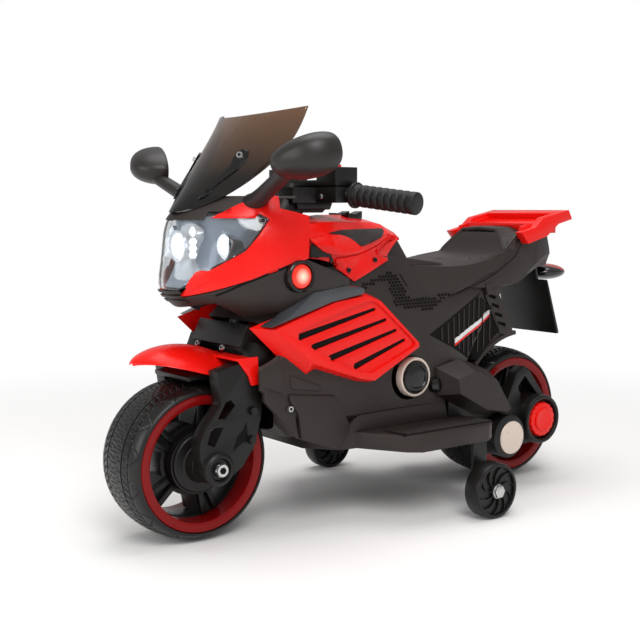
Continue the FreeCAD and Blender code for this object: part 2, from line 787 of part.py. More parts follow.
TANK_SHARES = (
    (0.0, ((0.48, 0.53), (0.48, 0.58), (0.34, 0.68), (0, 0.76))),
    (0.185, ((0.68, 0.55), (0.68, 0.67), (0.48, 0.83), (0, 0.93))),
    (0.39, ((0.82, 0.29), (0.84, 0.55), (0.57, 0.87), (0, 1.0))),
    (0.61, ((0.91, 0.0), (0.955, 0.42), (0.64, 0.89), (0, 1.0))),
    (0.82, ((0.955, 0.21), (1.0, 0.5), (0.68, 0.87), (0, 0.93))),
    (1.0, ((0.955, 0.29), (0.98, 0.55), (0.66, 0.82), (0, 0.84))),
)
tank_box = (size.tank_back_x, size.tank_front_x, size.tank_half_width, size.tank_low_z, size.tank_high_z)
SEAT_SHARES = (
    (0.0, ((0.68, 0.86), (0.63, 0.9), (0.36, 0.95), (0, 0.96))),
    (0.17, ((0.8, 0.78), (0.75, 0.86), (0.42, 0.99), (0, 1.0))),
    (0.34, ((0.9, 0.39), (0.83, 0.58), (0.48, 0.9), (0, 0.93))),
    (0.42, ((0.93, 0.31), (0.85, 0.5), (0.5, 0.71), (0, 0.73))),
    (0.55, ((0.98, 0.17), (0.89, 0.45), (0.5, 0.55), (0, 0.57))),
    (0.68, ((1.0, 0.04), (0.9, 0.44), (0.5, 0.51), (0, 0.52))),
    (0.86, ((1.0, 0.0), (0.92, 0.47), (0.5, 0.52), (0, 0.53))),
    (1.0, ((0.92, 0.33), (0.9, 0.49), (0.5, 0.55), (0, 0.56))),
)
seat_box = (size.seat_back_x, size.seat_front_x, size.seat_half_width, size.seat_low_z, size.seat_high_z)
TAIL_SHARES = (
    (0.0, ((0.28, 0.5), (0.36, 0.66), (0.28, 0.88), (0, 0.9))),
    (0.08, ((0.48, 0.43), (0.6, 0.62), (0.48, 0.96), (0, 0.98))),
    (0.26, ((0.62, 0.29), (0.82, 0.52), (0.7, 0.98), (0, 1.0))),
    (0.48, ((0.68, 0.03), (0.96, 0.27), (0.87, 0.94), (0, 1.0))),
    (0.7, ((0.7, 0.0), (1.0, 0.18), (0.97, 0.57), (0, 0.7))),
    (1.0, ((0.7, 0.06), (0.97, 0.2), (0.97, 0.4), (0, 0.5))),
)
tail_box = (size.tail_back_x, size.tail_front_x, size.tail_half_width, size.tail_low_z, size.tail_high_z)
BODY_SHARES = (
    (0.0, ((0.55, 0.45), (0.72, 0.5), (0.74, 0.7), (0.62, 0.84), (0, 0.84))),
    (0.1, ((0.6, 0.12), (0.8, 0.28), (0.82, 0.66), (0.66, 0.84), (0, 0.84))),
    (0.2, ((0.7, 0.0), (0.97, 0.12), (0.9, 0.62), (0.68, 0.9), (0, 0.9))),
    (0.44, ((0.72, 0.0), (0.98, 0.1), (0.93, 0.66), (0.8, 0.95), (0, 0.95))),
    (0.67, ((0.72, 0.0), (1.0, 0.1), (1.0, 0.62), (0.84, 0.96), (0, 1.0))),
    (0.85, ((0.7, 0.0), (1.0, 0.12), (1.0, 0.5), (0.6, 0.8), (0, 0.82))),
    (1.0, ((0.72, 0.25), (1.0, 0.3), (1.0, 0.4), (0.6, 0.56), (0, 0.58))),
)
body_box = (size.body_back_x, size.body_front_x, size.body_half_width, size.body_low_z, size.body_high_z)

# Tank cover with a notch for the steering neck, two windows for the switches and cheeks that hold their pivots
tank = hood_shell(tank_box, TANK_SHARES).cut(
    steering_round(size.tank_neck_radius, size.head_low_rise, size.stem_top_rise))
switch_room = size.switch_length + 2 * size.switch_swing
pivot_z = size.tank_high_z - size.switch_pivot_drop
pivot_half = size.switch_width / 2 + size.cheek_thickness
cheek_low_z = size.tank_high_z - size.cheek_drop
under_tank = hood(tank_box, TANK_SHARES, -size.wall / 2)
for side in (-1, 1):
    middle = side * size.switch_y
    window_half = size.switch_width / 2 + size.panel_gap
    tank = tank.cut(Part.makeBox(
        switch_room, 2 * window_half, size.tank_high_z - size.tank_low_z,
        Vector(size.switch_x - switch_room / 2, middle - window_half, size.tank_low_z + size.overrun)))
    cheeks = []
    for cheek_y in (middle - window_half - size.cheek_thickness, middle + window_half):
        cheek = Part.makeBox(size.cheek_length, size.cheek_thickness, size.cheek_drop,
                             Vector(size.switch_x - size.cheek_length / 2, cheek_y, cheek_low_z))
        cheeks.append(cheek.common(under_tank))
    bore_half = pivot_half + size.panel_gap
    pivot_bore = Part.makeCylinder(size.switch_pivot_radius + size.run_gap, 2 * bore_half,
                                   Vector(size.switch_x, middle - bore_half, pivot_z), Y_AXIS)
    tank = tank.fuse(cheeks).cut(pivot_bore)
node(formed("tank_shell", tank), "tank_cover")

# Rocker switches: blocks with a hollow top and a round pivot across the bike
ROCKER_SHARES = ((0.0, 0.35), (0.12, 0.0), (0.88, 0.0), (1.0, 0.35), (1.0, 0.82), (0.5, 0.7), (0.0, 1.0))
for name, side in (("power_switch", 1), ("direction_switch", -1)):
    middle = side * size.switch_y
    rocker = plate(outline(size.switch_x - size.switch_length / 2, size.switch_x + size.switch_length / 2,
                           size.tank_high_z + size.switch_proud - size.switch_height,
                           size.tank_high_z + size.switch_proud, ROCKER_SHARES),
                   middle - size.switch_width / 2, middle + size.switch_width / 2)
    pivot = Part.makeCylinder(size.switch_pivot_radius, 2 * pivot_half,
                              Vector(size.switch_x, middle - pivot_half, pivot_z), Y_AXIS)
    node(formed(name + "_rocker", rocker.fuse(pivot)), name)

node(formed("seat_shell", hood_shell(seat_box, SEAT_SHARES)), "seat")
seat_room = hood(seat_box, SEAT_SHARES, size.panel_gap, size.panel_gap)
tail_room = hood(tail_box, TAIL_SHARES, size.panel_gap, size.panel_gap)
tank_room = hood(tank_box, TANK_SHARES, size.panel_gap, size.panel_gap)
node(formed("tail_shell", hood_shell(tail_box, TAIL_SHARES).cut(seat_room)), "tail_cover")

FACET_SHARES = ((1.0, 0.89), (0.67, 0.99), (0.285, 0.755), (0.0, 0.125), (0.11, 0.01), (0.46, 0.045),
                (0.98, 0.44))
FACET_TOP_SHARES = ((0.886, 0.72), (0.65, 0.81), (0.34, 0.63), (0.13, 0.135), (0.186, 0.09), (0.486, 0.18),
                    (0.857, 0.49))

# Body halves: the black moulding that carries everything, split down the middle
rear_well = Part.makeCylinder(size.hugger_radius + size.panel_gap, 2 * size.body_half_width,
                              Vector(size.rear_axle_x, -size.body_half_width, size.tyre_radius), Y_AXIS)
front_well = Part.makeSphere(size.wheel_reach, Vector(size.front_axle_x, 0, size.tyre_radius))
steering_well = steering_round(size.steer_reach, -size.wheel_reach, size.steer_top_rise)
bore = steering_round(size.stem_radius + size.run_gap, 0, size.stem_top_rise)
shell = hood(body_box, BODY_SHARES).cut(hood(body_box, BODY_SHARES, -size.wall, -size.wall))
head_tube = steering_round(size.head_radius, size.head_low_rise, size.head_high_rise)
arm_room = Part.makeBox(size.body_front_x - size.body_back_x,
                        size.arm_outer_y - size.arm_inner_y + 2 * size.panel_gap,
                        size.arm_high_z - size.arm_low_z + 2 * size.panel_gap,
                        Vector(size.arm_front_x + size.panel_gap - size.body_front_x + size.body_back_x,
                               size.arm_inner_y - size.panel_gap, size.arm_low_z - size.panel_gap))
engine_room = Part.makeCylinder(size.engine_ring_radius + size.panel_gap, size.body_half_width,
                                Vector(size.engine_x, size.engine_seat_y, size.engine_z), Y_AXIS)
facet_points = outline(size.facet_back_x, size.facet_front_x, size.facet_low_z, size.facet_high_z, FACET_SHARES)
facet_room = plate(facet_points, size.arm_outer_y, 2 * size.arm_outer_y)
sided = [arm_room, engine_room, facet_room]
whole = shell.cut(sided + [room.mirror(Vector(), Y_AXIS) for room in sided])
whole = whole.cut([rear_well, front_well, steering_well, tank_room, seat_room, tail_room])
head_foot_x = steering_place(0, 0, size.head_low_rise).x
nose_bracket = Part.makeBox(size.bulkhead_x - size.wall - size.panel_gap - head_foot_x, size.head_radius,
                            size.head_radius, Vector(head_foot_x, -size.head_radius / 2, size.bulkhead_low_z))
whole = whole.fuse([head_tube, nose_bracket]).cut(bore)
half_space = Part.makeBox(2 * size.body_front_x - 2 * size.body_back_x, size.pan_half_width,
                          2 * size.body_high_z, Vector(2 * size.body_back_x, 0, 0))
body_left = formed("body_left", whole.common(half_space))
node(body_left, "chassis_left")
node(mirrored("body_twin", body_left), "chassis_right")

# Nose: one smooth form, cut into lens, fairing, cowl and headlight housing
NOSE_SHARES = (
    (0.0, 0.69, ((0.58, 0.41), (0.34, 0.8), (0.0, 0.91))),
    (0.157, 0.9, ((0.8, 0.36), (0.46, 0.84), (0.0, 0.945))),
    (0.29, 1.0, ((0.92, 0.36), (0.525, 0.88), (0.0, 0.98))),
    (0.49, 1.0, ((0.893, 0.42), (0.56, 0.91), (0.0, 0.98))),
    (0.7, 0.976, ((0.86, 0.455), (0.56, 0.89), (0.0, 0.945))),
    (0.843, 0.942, ((0.825, 0.436), (0.544, 0.836), (0.0, 0.89))),
    (1.0, 0.835, ((0.72, 0.418), (0.476, 0.764), (0.0, 0.818))),
)

def nose(shrink=0):
    """The solid nose, drawn in by shrink and then run on past its back and both ends."""
    rings = []
    for level, tip, chain in NOSE_SHARES:
        z = between(size.nose_low_z, size.nose_high_z, level)
        if shrink and level in (0, 1):
            z += math.copysign(size.panel_gap, level - share_of_middle)
        left = [Vector(between(size.nose_back_x, size.nose_front_x, along) - shrink * (along > 0),
                       across * size.nose_half_width - shrink, z) for along, across in chain]
        if shrink:
            left[-1].x -= size.overrun
        middle = Vector(between(size.nose_back_x, size.nose_front_x, tip) - shrink, 0, z)
        right = [Vector(point.x, -point.y, point.z) for point in left]
        curve = Part.BSplineCurve()
        curve.interpolate(right[::-1] + [middle] + left)
        rings.append(Part.Wire([curve.toShape(), Part.makeLine(left[-1], right[-1])]))
    return Part.makeLoft(rings, True, False)


share_of_middle = 0.5
LENS_SHARES = ((1.05, 0.31), (0.97, 0.31), (0.875, 0.44), (0.69, 0.6), (0.545, 0.83), (0.6, 0.875),
               (1.05, 0.875))
FAIRING_SHARES = ((0.96, 0.255), (0.9, 0.44), (0.72, 0.62), (0.6, 0.89), (0.52, 1.05), (0.36, 1.05),
                  (0.285, 0.93), (0.325, 0.65), (0.335, 0.54))
COWL_SHARES = ((1.05, 0.3), (0.965, 0.3), (0.957, 0.248), (0.34, 0.53), (0.005, 0.375), (0.005, 0.3),
               (0.72, 0.06), (0.69, -0.05), (1.05, -0.05))
DASH_SHARES = ((1.05, 0.885), (0.617, 0.885), (0.532, 1.05), (1.05, 1.05))


def across_nose(shares, grow=0):
    """A prism across the whole nose from an outline seen from the side."""
    points = outline(size.nose_back_x, size.nose_front_x, size.nose_low_z, size.nose_high_z, shares)
    prism = plate(points, -size.nose_half_width - size.overrun, size.nose_half_width + size.overrun)
    if grow:
        face = Part.Face(closed([Vector(x, -size.nose_half_width - size.overrun, z) for x, z in points]))
        prism = face.makeOffset2D(grow, 2).extrude(Vector(0, 2 * size.nose_half_width + 2 * size.overrun, 0))
    return prism


nose_outer = nose()
nose_shell = nose_outer.cut(nose(size.wall))
body_room = hood(body_box, BODY_SHARES, size.panel_gap, size.panel_gap)
lens_room = across_nose(LENS_SHARES, size.panel_gap)
steering_room = steering_round(size.steer_reach, 0, size.steer_top_rise)
node(formed("lens_shell", nose_shell.common(across_nose(LENS_SHARES))), "headlight_lens")
fairing = nose_shell.common(across_nose(FAIRING_SHARES))
fairing = fairing.cut([lens_room, across_nose(DASH_SHARES, size.panel_gap)])
for name, side in (("fairing_left", 1), ("fairing_right", -1)):
    half = next(part for part in fairing.Solids if part.CenterOfMass.y * side > 0)
    node(formed(name + "_shell", half), name)
indicator_holes = Part.makeCylinder(
    size.indicator_radius + size.panel_gap, 4 * size.nose_half_width,
    Vector(size.indicator_x, -2 * size.nose_half_width, size.indicator_z), Y_AXIS)
cowl = nose_shell.common(across_nose(COWL_SHARES)).cut(
    [body_room, steering_room, indicator_holes, across_nose(FAIRING_SHARES, size.panel_gap)])
node(formed("cowl_shell", max(cowl.Solids, key=lambda part: part.Volume)), "front_cowl")

# Headlight housing: the black rim over the lens, a lid under the windscreen and a bulkhead on the steering head
inside = nose(size.wall + size.panel_gap)
lid = inside.common(Part.makeBox(size.nose_front_x - size.dash_back_x, 2 * size.nose_half_width, size.wall,
                                 Vector(size.dash_back_x, -size.nose_half_width, size.nose_high_z - size.wall)))
bulkhead_corner = Vector(size.bulkhead_x - size.wall, -size.nose_half_width, size.bulkhead_low_z)
bulkhead = inside.common(Part.makeBox(size.wall, 2 * size.nose_half_width,
                                      size.nose_high_z - size.bulkhead_low_z, bulkhead_corner))
rim_over_lens = nose_shell.common(across_nose(DASH_SHARES))
lid_edge = nose(size.wall / 2).common(across_nose(DASH_SHARES)).common(Part.makeBox(
    size.nose_front_x - size.dash_back_x, 2 * size.nose_half_width, size.wall,
    Vector(size.dash_back_x, -size.nose_half_width, size.nose_high_z - size.wall)))
housing = lid.fuse([bulkhead, rim_over_lens, lid_edge])
node(formed("housing_shell", housing), "headlight_housing")
lamps = []
for side in (-1, 1):
    lamp = Part.makeCylinder(size.lamp_radius, size.lamp_length,
                             Vector(size.bulkhead_x + size.panel_gap, side * size.lamp_y, size.lamp_z), X_AXIS)
    lamps.append(lamp)
node(formed("lamp_pair", Part.makeCompound(lamps)), "headlight_lamps")
lenses = []
for side in (-1, 1):
    start = size.nose_half_width - size.indicator_depth
    lens = Part.makeCylinder(size.indicator_radius, size.indicator_depth + size.indicator_proud,
                             Vector(size.indicator_x, side * start, size.indicator_z), Y_AXIS * side)
    lenses.append(lens)
node(formed("indicator_pair", Part.makeCompound(lenses)), "indicator_lenses")

# Windscreen: a smoked sheet bent round the nose
SCREEN_SHARES = ((0.0, 0.12, 0.08, 0.0), (0.17, 0.43, 0.34, -0.07), (0.33, 0.65, 0.74, -0.035),
                 (0.67, 0.89, 1.0, 0.0), (1.0, 1.0, 0.84, 0.075))
screen_arcs = []
for along, half, sweep, rise in SCREEN_SHARES:
    front = between(size.screen_low_x, size.screen_high_x, along)
    height = between(size.screen_low_z, size.screen_high_z, along)
    wide = half * size.screen_half_width
    back = front - sweep * size.screen_sweep
    corner = height + rise * (size.screen_high_z - size.screen_low_z)
    arc = Part.Arc(Vector(back, -wide, corner), Vector(front, 0, height), Vector(back, wide, corner))
    screen_arcs.append(Part.Wire([arc.toShape()]))
screen_face = Part.makeLoft(screen_arcs, False, False).Faces[0]
screen = screen_face.extrude(-X_AXIS * size.screen_wall).cut(nose(-size.panel_gap))
node(formed("screen_sheet", screen), "windscreen")

# Mirror: an egg-shaped housing with a flat back, on a tapered stalk with a foot
mirror_middle = Vector(size.mirror_x, size.mirror_y, size.mirror_z)
mirror_turn = Rotation(Z_AXIS, size.mirror_sweep)


def spheroid(pole, belt):
    """A ball stretched or pressed along X, with half its axis as pole and its radius as belt."""
    inner_turns = [math.pi * step / size.ball_steps for step in range(1, int(size.ball_steps))]
    rim = [Vector(pole * math.cos(turn), belt * math.sin(turn), 0) for turn in inner_turns]
    profile = closed([Vector(pole, 0, 0)] + rim + [Vector(-pole, 0, 0)])
    return Part.Face(profile).revolve(Vector(), X_AXIS, FULL_TURN)


def mirror_slab(start, end):
    reach = 2 * size.mirror_half_length
    return Part.makeBox(end - start, 2 * reach, 2 * reach, Vector(start, -reach, -reach))


egg = spheroid(size.mirror_half_length, size.mirror_half_height)
egg.rotate(Vector(), Z_AXIS, QUARTER_TURN)
egg_front = egg.cut(mirror_slab(-2 * size.mirror_half_length, -size.mirror_face))
egg_back = egg.common(mirror_slab(-2 * size.mirror_half_length, -size.mirror_face))
face_share = math.sqrt(1 - (size.mirror_face / size.mirror_half_height) ** 2)
glass_rim = Part.Ellipse(Vector(), size.mirror_half_length * face_share - size.wall,
                         size.mirror_half_height * face_share - size.wall).toShape()
glass = Part.Face(Part.Wire([glass_rim])).extrude(Z_AXIS * size.mirror_glass)
glass.Placement = Placement(Vector(-size.mirror_face - size.mirror_glass - size.seat_gap, 0, 0),
                            Rotation(Y_AXIS, Z_AXIS, X_AXIS))
glass = glass.copy()
foot_place = Vector(size.stalk_foot_x, size.stalk_foot_y, size.nose_high_z + size.panel_gap)
stalk_tip = mirror_middle + mirror_turn.multVec(Vector(size.stalk_tip_forward, -size.stalk_tip_inset, 0))
stalk_line = stalk_tip - foot_place
stalk = Part.makeCone(size.stalk_radius, size.stalk_tip_radius, stalk_line.Length, foot_place, stalk_line)
foot = Part.makeCylinder(size.stalk_foot_radius, size.stalk_foot_height, foot_place, Z_AXIS)
below_foot = Part.makeBox(4 * size.stalk_foot_radius, 4 * size.stalk_foot_radius, size.stalk_foot_radius,
                          foot_place - Vector(2 * size.stalk_foot_radius, 2 * size.stalk_foot_radius,
                                              size.stalk_foot_radius))
turned = Placement(mirror_middle, mirror_turn)
for part in (egg_front, egg_back, glass):
    part.Placement = turned.multiply(part.Placement)
mirror_left = formed("mirror_shell", egg_front.fuse([stalk.cut(egg_back), foot]).cut(below_foot))
node(mirror_left, "mirror_left")
node(mirrored("mirror_twin", mirror_left), "mirror_right")
node(pair("glass_pair", formed("mirror_glass_left", glass)), "mirror_glasses")

# Side panels: red vent mouldings with slanted slots, bevelled all round and hollow behind
VENT_SHARES = ((1.0, 0.66), (0.43, 1.0), (0.37, 0.99), (0.0, 0.36), (0.03, 0.28), (0.34, 0.01), (0.43, 0.03),
               (0.73, 0.14))
SLOT_FRONT_SHARES = ((0.7, 0.62), (0.52, 0.17))
SLOT_BACK_SHARES = ((0.38, 0.84), (0.12, 0.33))


def bevelled(points, low_y, depth, bevel, shrink=0):
    """A flat-topped block on an outline, with sloping sides, drawn in all round by shrink."""
    foot = Part.Face(closed([Vector(x, low_y, z) for x, z in points]))
    if shrink:
        foot = foot.makeOffset2D(-shrink, 2)
    crown = foot.makeOffset2D(-bevel, 2)
    crown.translate(Vector(0, depth - shrink, 0))
    return Part.makeLoft([foot.OuterWire, crown.OuterWire], True, True)


vent_in_y = size.body_half_width + size.panel_gap
vent_points = outline(size.vent_back_x, size.vent_front_x, size.vent_low_z, size.vent_high_z, VENT_SHARES)
vent = bevelled(vent_points, vent_in_y, size.vent_depth, size.vent_bevel)
vent = vent.cut(bevelled(vent_points, vent_in_y, size.vent_depth, size.vent_bevel, size.wall))
for number in range(int(size.vent_slots)):
    step = number / (size.vent_slots - 1)
    ends = []
    for first, last in (SLOT_FRONT_SHARES, SLOT_BACK_SHARES):
        shares = [(between(first[0], last[0], step), between(first[1], last[1], step))]
        ends += outline(size.vent_back_x, size.vent_front_x, size.vent_low_z, size.vent_high_z, shares)
    (front_x, front_z), (back_x, back_z) = ends
    half = size.vent_slot_height / 2
    vent = vent.cut(plate([(front_x, front_z - half), (front_x, front_z + half), (back_x, back_z + half),
                           (back_x, back_z - half)], vent_in_y, vent_in_y + 2 * size.vent_depth))
vent_left = formed("vent_left", vent)
node(vent_left, "side_panel_left")
node(mirrored("vent_twin", vent_left), "side_panel_right")

# Belly pan: the floor of the bike, with a footboard on each side
PAN_SHARES = ((1.0, 0.3), (0.88, 0.54), (0.79, 0.56), (0.66, 0.92), (0.6, 1.0), (0.16, 1.0), (0.09, 0.92),
              (0.085, 0.56), (0.0, 0.36))
pan_top_z = size.body_low_z - size.panel_gap


def pan_block(shrink, low_z, high_z):
    """The outline of the pan, drawn in by shrink, between two heights."""
    half = [(between(size.pan_back_x, size.pan_front_x, along), across * size.pan_half_width)
            for along, across in PAN_SHARES]
    ring = [Vector(x, y, low_z) for x, y in half] + [Vector(x, -y, low_z) for x, y in half[::-1]]
    face = Part.Face(closed(ring))
    if shrink:
        face = face.makeOffset2D(-shrink, 2)
    return face.extrude(Vector(0, 0, high_z - low_z))


front_room = Part.makeSphere(size.wheel_reach, Vector(size.front_axle_x, 0, size.tyre_radius))
pan = pan_block(0, size.pan_low_z, pan_top_z)
pan = pan.cut(pan_block(size.wall, size.pan_low_z - size.overrun, pan_top_z - size.wall))
pan = pan.cut([front_room, rear_well, arm_room, arm_room.mirror(Vector(), Y_AXIS)])
node(formed("pan_tray", pan), "belly_pan")

# Engine caps: a ring and a domed cap on each side of the body
engine_in = "engine_seat_y + panel_gap"
engine_cap = fuse("engine_cap",
                  bar("engine_ring", "engine_ring_radius", engine_in, "engine_seat_y + engine_ring_depth",
                      "engine_x", "engine_z"),
                  bar("engine_dome", "engine_cap_radius", engine_in, "engine_seat_y + engine_cap_depth",
                      "engine_x", "engine_z"))
node(pair("engine_cap_pair", engine_cap), "engine_caps")

# Rear arms: plates on each side of the rear wheel, with housings for the axle and the motor
ARM_SHARES = ((1.0, 0.45), (1.0, 0.98), (0.69, 0.97), (0.45, 0.61), (0.36, 0.92), (0.285, 0.99), (0.23, 0.92),
              (0.03, 0.5), (0.09, 0.125), (0.23, 0.08), (0.46, 0.03), (0.64, 0.03), (0.74, 0.23))
ARM_WINDOW_SHARES = ((0.35, 0.765), (0.28, 0.875), (0.155, 0.64), (0.31, 0.55))
slope = math.radians(size.drive_slope)
first_centres = size.gear_module * (size.drive_teeth + size.idler_small_teeth) / 2
second_centres = size.gear_module * (size.idler_large_teeth + size.pinion_teeth) / 2


def along_drive(distance, y):
    """A point on the line of gear centres, at a distance from the rear axle."""
    return Vector(size.rear_axle_x + distance * math.cos(slope), y,
                  size.tyre_radius + distance * math.sin(slope))


motor_place = along_drive(first_centres + second_centres, size.arm_inner_y)
axle_place = along_drive(0, size.arm_inner_y)
arm_box = (size.arm_back_x, size.arm_front_x, size.arm_low_z, size.arm_high_z)
arm_plate = plate(outline(*arm_box, ARM_SHARES), size.arm_inner_y, size.arm_outer_y)
arm_window = plate(outline(*arm_box, ARM_WINDOW_SHARES), 0, 2 * size.arm_outer_y)
axle_house = Part.makeCylinder(size.axle_house_radius, size.axle_house_y - size.arm_inner_y, axle_place, Y_AXIS)
motor_house = Part.makeCylinder(size.motor_house_radius, size.motor_house_y - size.arm_inner_y, motor_place,
                                Y_AXIS)
axle_bore = Part.makeCylinder(size.axle_radius + size.seat_gap, 2 * size.arm_outer_y, along_drive(0, 0), Y_AXIS)
motor_bore = Part.makeCylinder(size.motor_radius + size.seat_gap, size.motor_length + size.panel_gap,
                               motor_place, Y_AXIS)
arm = arm_plate.cut(arm_window).fuse([axle_house, motor_house]).cut([axle_bore, motor_bore])
arm_left = formed("arm_left", arm.removeSplitter())
node(arm_left, "rear_arm_left")
node(mirrored("arm_twin", arm_left), "rear_arm_right")

# Arm covers: faceted shields outside the arms
facet_in_y = size.arm_outer_y + size.panel_gap
facet_top = outline(size.facet_back_x, size.facet_front_x, size.facet_low_z, size.facet_high_z,
                    FACET_TOP_SHARES)
facet_rings = [closed([Vector(x, facet_in_y, z) for x, z in facet_points]),
               closed([Vector(x, facet_in_y + size.facet_depth, z) for x, z in facet_top])]
facet = Part.makeLoft(facet_rings, True, True)
motor_house_room = Part.makeCylinder(size.motor_house_radius + size.panel_gap, 2 * size.motor_house_y,
                                     along_drive(first_centres + second_centres, 0), Y_AXIS)
facet_left = formed("facet_left", facet.cut(motor_house_room))
node(pair("facet_pair", facet_left), "arm_covers")

# Rear axle: a rod with a spacer on the left, under red scalloped caps
axle_reach = "axle_house_y - panel_gap"
rear_axle = fuse("rear_axle_rod",
                 bar("rear_rod", "axle_radius", f"-({axle_reach})", axle_reach, "rear_axle_x", "tyre_radius"),
                 bar("rear_spacer", "axle_radius + wall", "hub_width / 2 + panel_gap",
                     "arm_inner_y - panel_gap", "rear_axle_x", "tyre_radius"))
node(rear_axle, "rear_axle")
cap_in_y = size.axle_house_y + size.panel_gap
cap = Part.makeCylinder(size.cap_radius, size.cap_depth, along_drive(0, cap_in_y), Y_AXIS)
notches = []
for number in range(int(size.cap_lobes)):
    angle = math.radians(FULL_TURN * number / size.cap_lobes)
    notch_place = along_drive(0, cap_in_y) + Vector(math.cos(angle), 0, math.sin(angle)) * size.cap_radius
    notches.append(Part.makeCylinder(size.cap_lobe_radius, size.cap_depth, notch_place, Y_AXIS))
node(pair("cap_pair", formed("cap_left", cap.cut(notches))), "axle_caps")

# Gear train: a motor pinion drives the rear wheel through a stepped idler
FLANK_SHARES = (0, 0.25, 0.5, 0.75, 1)
pressure_angle = 20
tip_share = 0.9
root_share = 1.25


def involute(angle):
    return math.tan(angle) - angle


def gear(teeth, place, facing, low_y, high_y):
    """A spur gear about a point, turned by facing so that a tooth or a gap lies on the line of centres."""
    pitch_radius = size.gear_module * teeth / 2
    base_radius = pitch_radius * math.cos(math.radians(pressure_angle))
    tip_radius = pitch_radius + tip_share * size.gear_module
    root_radius = pitch_radius - root_share * size.gear_module
    half_tooth = math.pi / (2 * teeth) - size.gear_backlash / (2 * pitch_radius)
    start = max(root_radius, base_radius)
    flank = []
    for share in FLANK_SHARES:
        radius = between(start, tip_radius, share)
        turn = half_tooth + involute(math.radians(pressure_angle)) - involute(math.acos(base_radius / radius))
        flank.append((radius, turn))
    flank.insert(0, (root_radius, flank[0][1] + size.gear_backlash / pitch_radius))
    points = []
    for number in range(int(teeth)):
        middle = slope + facing + 2 * math.pi * number / teeth
        points += [(radius, middle - turn) for radius, turn in flank]
        points += [(radius, middle + turn) for radius, turn in flank[::-1]]
    ring = [(place.x + radius * math.cos(turn), place.z + radius * math.sin(turn)) for radius, turn in points]
    return plate(ring, low_y, high_y)


def pin(radius, place, low_y, high_y):
    """A round pin across the bike through a point."""
    return Part.makeCylinder(radius, high_y - low_y, Vector(place.x, low_y, place.z), Y_AXIS)


idler_place = along_drive(first_centres, 0)
motor_centre = along_drive(first_centres + second_centres, 0)
axle_centre = along_drive(0, 0)
gear_low_y = -size.drive_gear_y
gear_high_y = gear_low_y + size.gear_width
second_high_y = gear_low_y - size.gear_step
second_low_y = second_high_y - size.gear_width
hub_face_y = -size.hub_width / 2 - size.seat_gap
drive = gear(size.drive_teeth, axle_centre, 0, gear_low_y, gear_high_y)
drive = drive.fuse(pin(size.gear_boss_radius, axle_centre, gear_low_y, hub_face_y))
drive = drive.cut(pin(size.axle_radius + size.run_gap, axle_centre, 2 * gear_low_y, 0))
node(formed("drive_wheel", drive.removeSplitter()), "drive_gear")
idler_turn = math.pi + math.pi / size.idler_small_teeth
idler = gear(size.idler_small_teeth, idler_place, idler_turn, gear_low_y, gear_high_y)
idler_bore = pin(size.idler_pin_radius + size.run_gap, idler_place, 2 * gear_low_y, 0)
idler_neck = pin(2 * size.idler_pin_radius, idler_place, second_low_y, gear_high_y)
idler_large = gear(size.idler_large_teeth, idler_place, 0, second_low_y, second_high_y)
idler = idler.fuse([idler_large, idler_neck]).cut(idler_bore)
node(formed("idler_wheel", idler.removeSplitter()), "idler_gear")
pinion_turn = math.pi + math.pi / size.pinion_teeth
motor_face_y = -size.arm_inner_y - size.panel_gap
shaft_end_y = motor_face_y - size.motor_length / 2
pinion = gear(size.pinion_teeth, motor_centre, pinion_turn, second_low_y, second_high_y)
pinion = pinion.fuse(pin(size.motor_shaft_radius, motor_centre, shaft_end_y, second_high_y))
node(formed("pinion_wheel", pinion), "motor_pinion")
motor = pin(size.motor_radius, motor_centre, motor_face_y - size.motor_length + size.panel_gap, motor_face_y)
motor = motor.cut(pin(size.motor_shaft_radius + size.run_gap, motor_centre, shaft_end_y - size.panel_gap, 0))
node(formed("motor_can", motor), "motor")

# Gearbox case: a tapered box round the gears, with the pin of the idler
axle_reach_radius = size.gear_module * (size.drive_teeth / 2 + 1) + size.case_air + size.case_wall
motor_reach_radius = size.gear_module * (size.idler_large_teeth / 2 + 1) + size.case_air + size.case_wall


def tapered(shrink, low_y, high_y):
    """The outline round the drive gear and the idler, run on to the motor pinion."""
    big, small = axle_reach_radius - shrink, motor_reach_radius - shrink
    lean = math.acos((big - small) / first_centres)
    rims = []
    for place, radius in ((axle_centre, big), (idler_place, small)):
        turns = (slope + lean, slope - lean)
        rims.append([(place.x + radius * math.cos(turn), place.z + radius * math.sin(turn)) for turn in turns])
    web = plate([rims[0][0], rims[0][1], rims[1][1], rims[1][0]], low_y, high_y)
    return web.fuse([pin(big, axle_centre, low_y, high_y), pin(small, idler_place, low_y, high_y),
                     pin(small - size.case_wall, motor_centre, low_y, high_y)]).removeSplitter()


case = tapered(0, -size.case_outer_y, -size.case_inner_y)
case = case.cut(tapered(size.case_wall, -size.case_outer_y + size.case_wall,
                        -size.case_inner_y - size.case_wall))
case = case.fuse(pin(size.idler_pin_radius, idler_place, -size.case_outer_y, -size.case_inner_y))
boss_room = pin(size.gear_boss_radius + size.panel_gap, axle_centre, -size.case_inner_y - size.case_wall, 0)
axle_room = pin(size.axle_radius + size.seat_gap, axle_centre, -2 * size.case_outer_y, 0)
shaft_room = pin(size.motor_shaft_radius + size.panel_gap, motor_centre, -2 * size.case_outer_y, 0)
case = case.cut([boss_room, axle_room, shaft_room])
node(formed("case_shell", case), "gearbox_case")

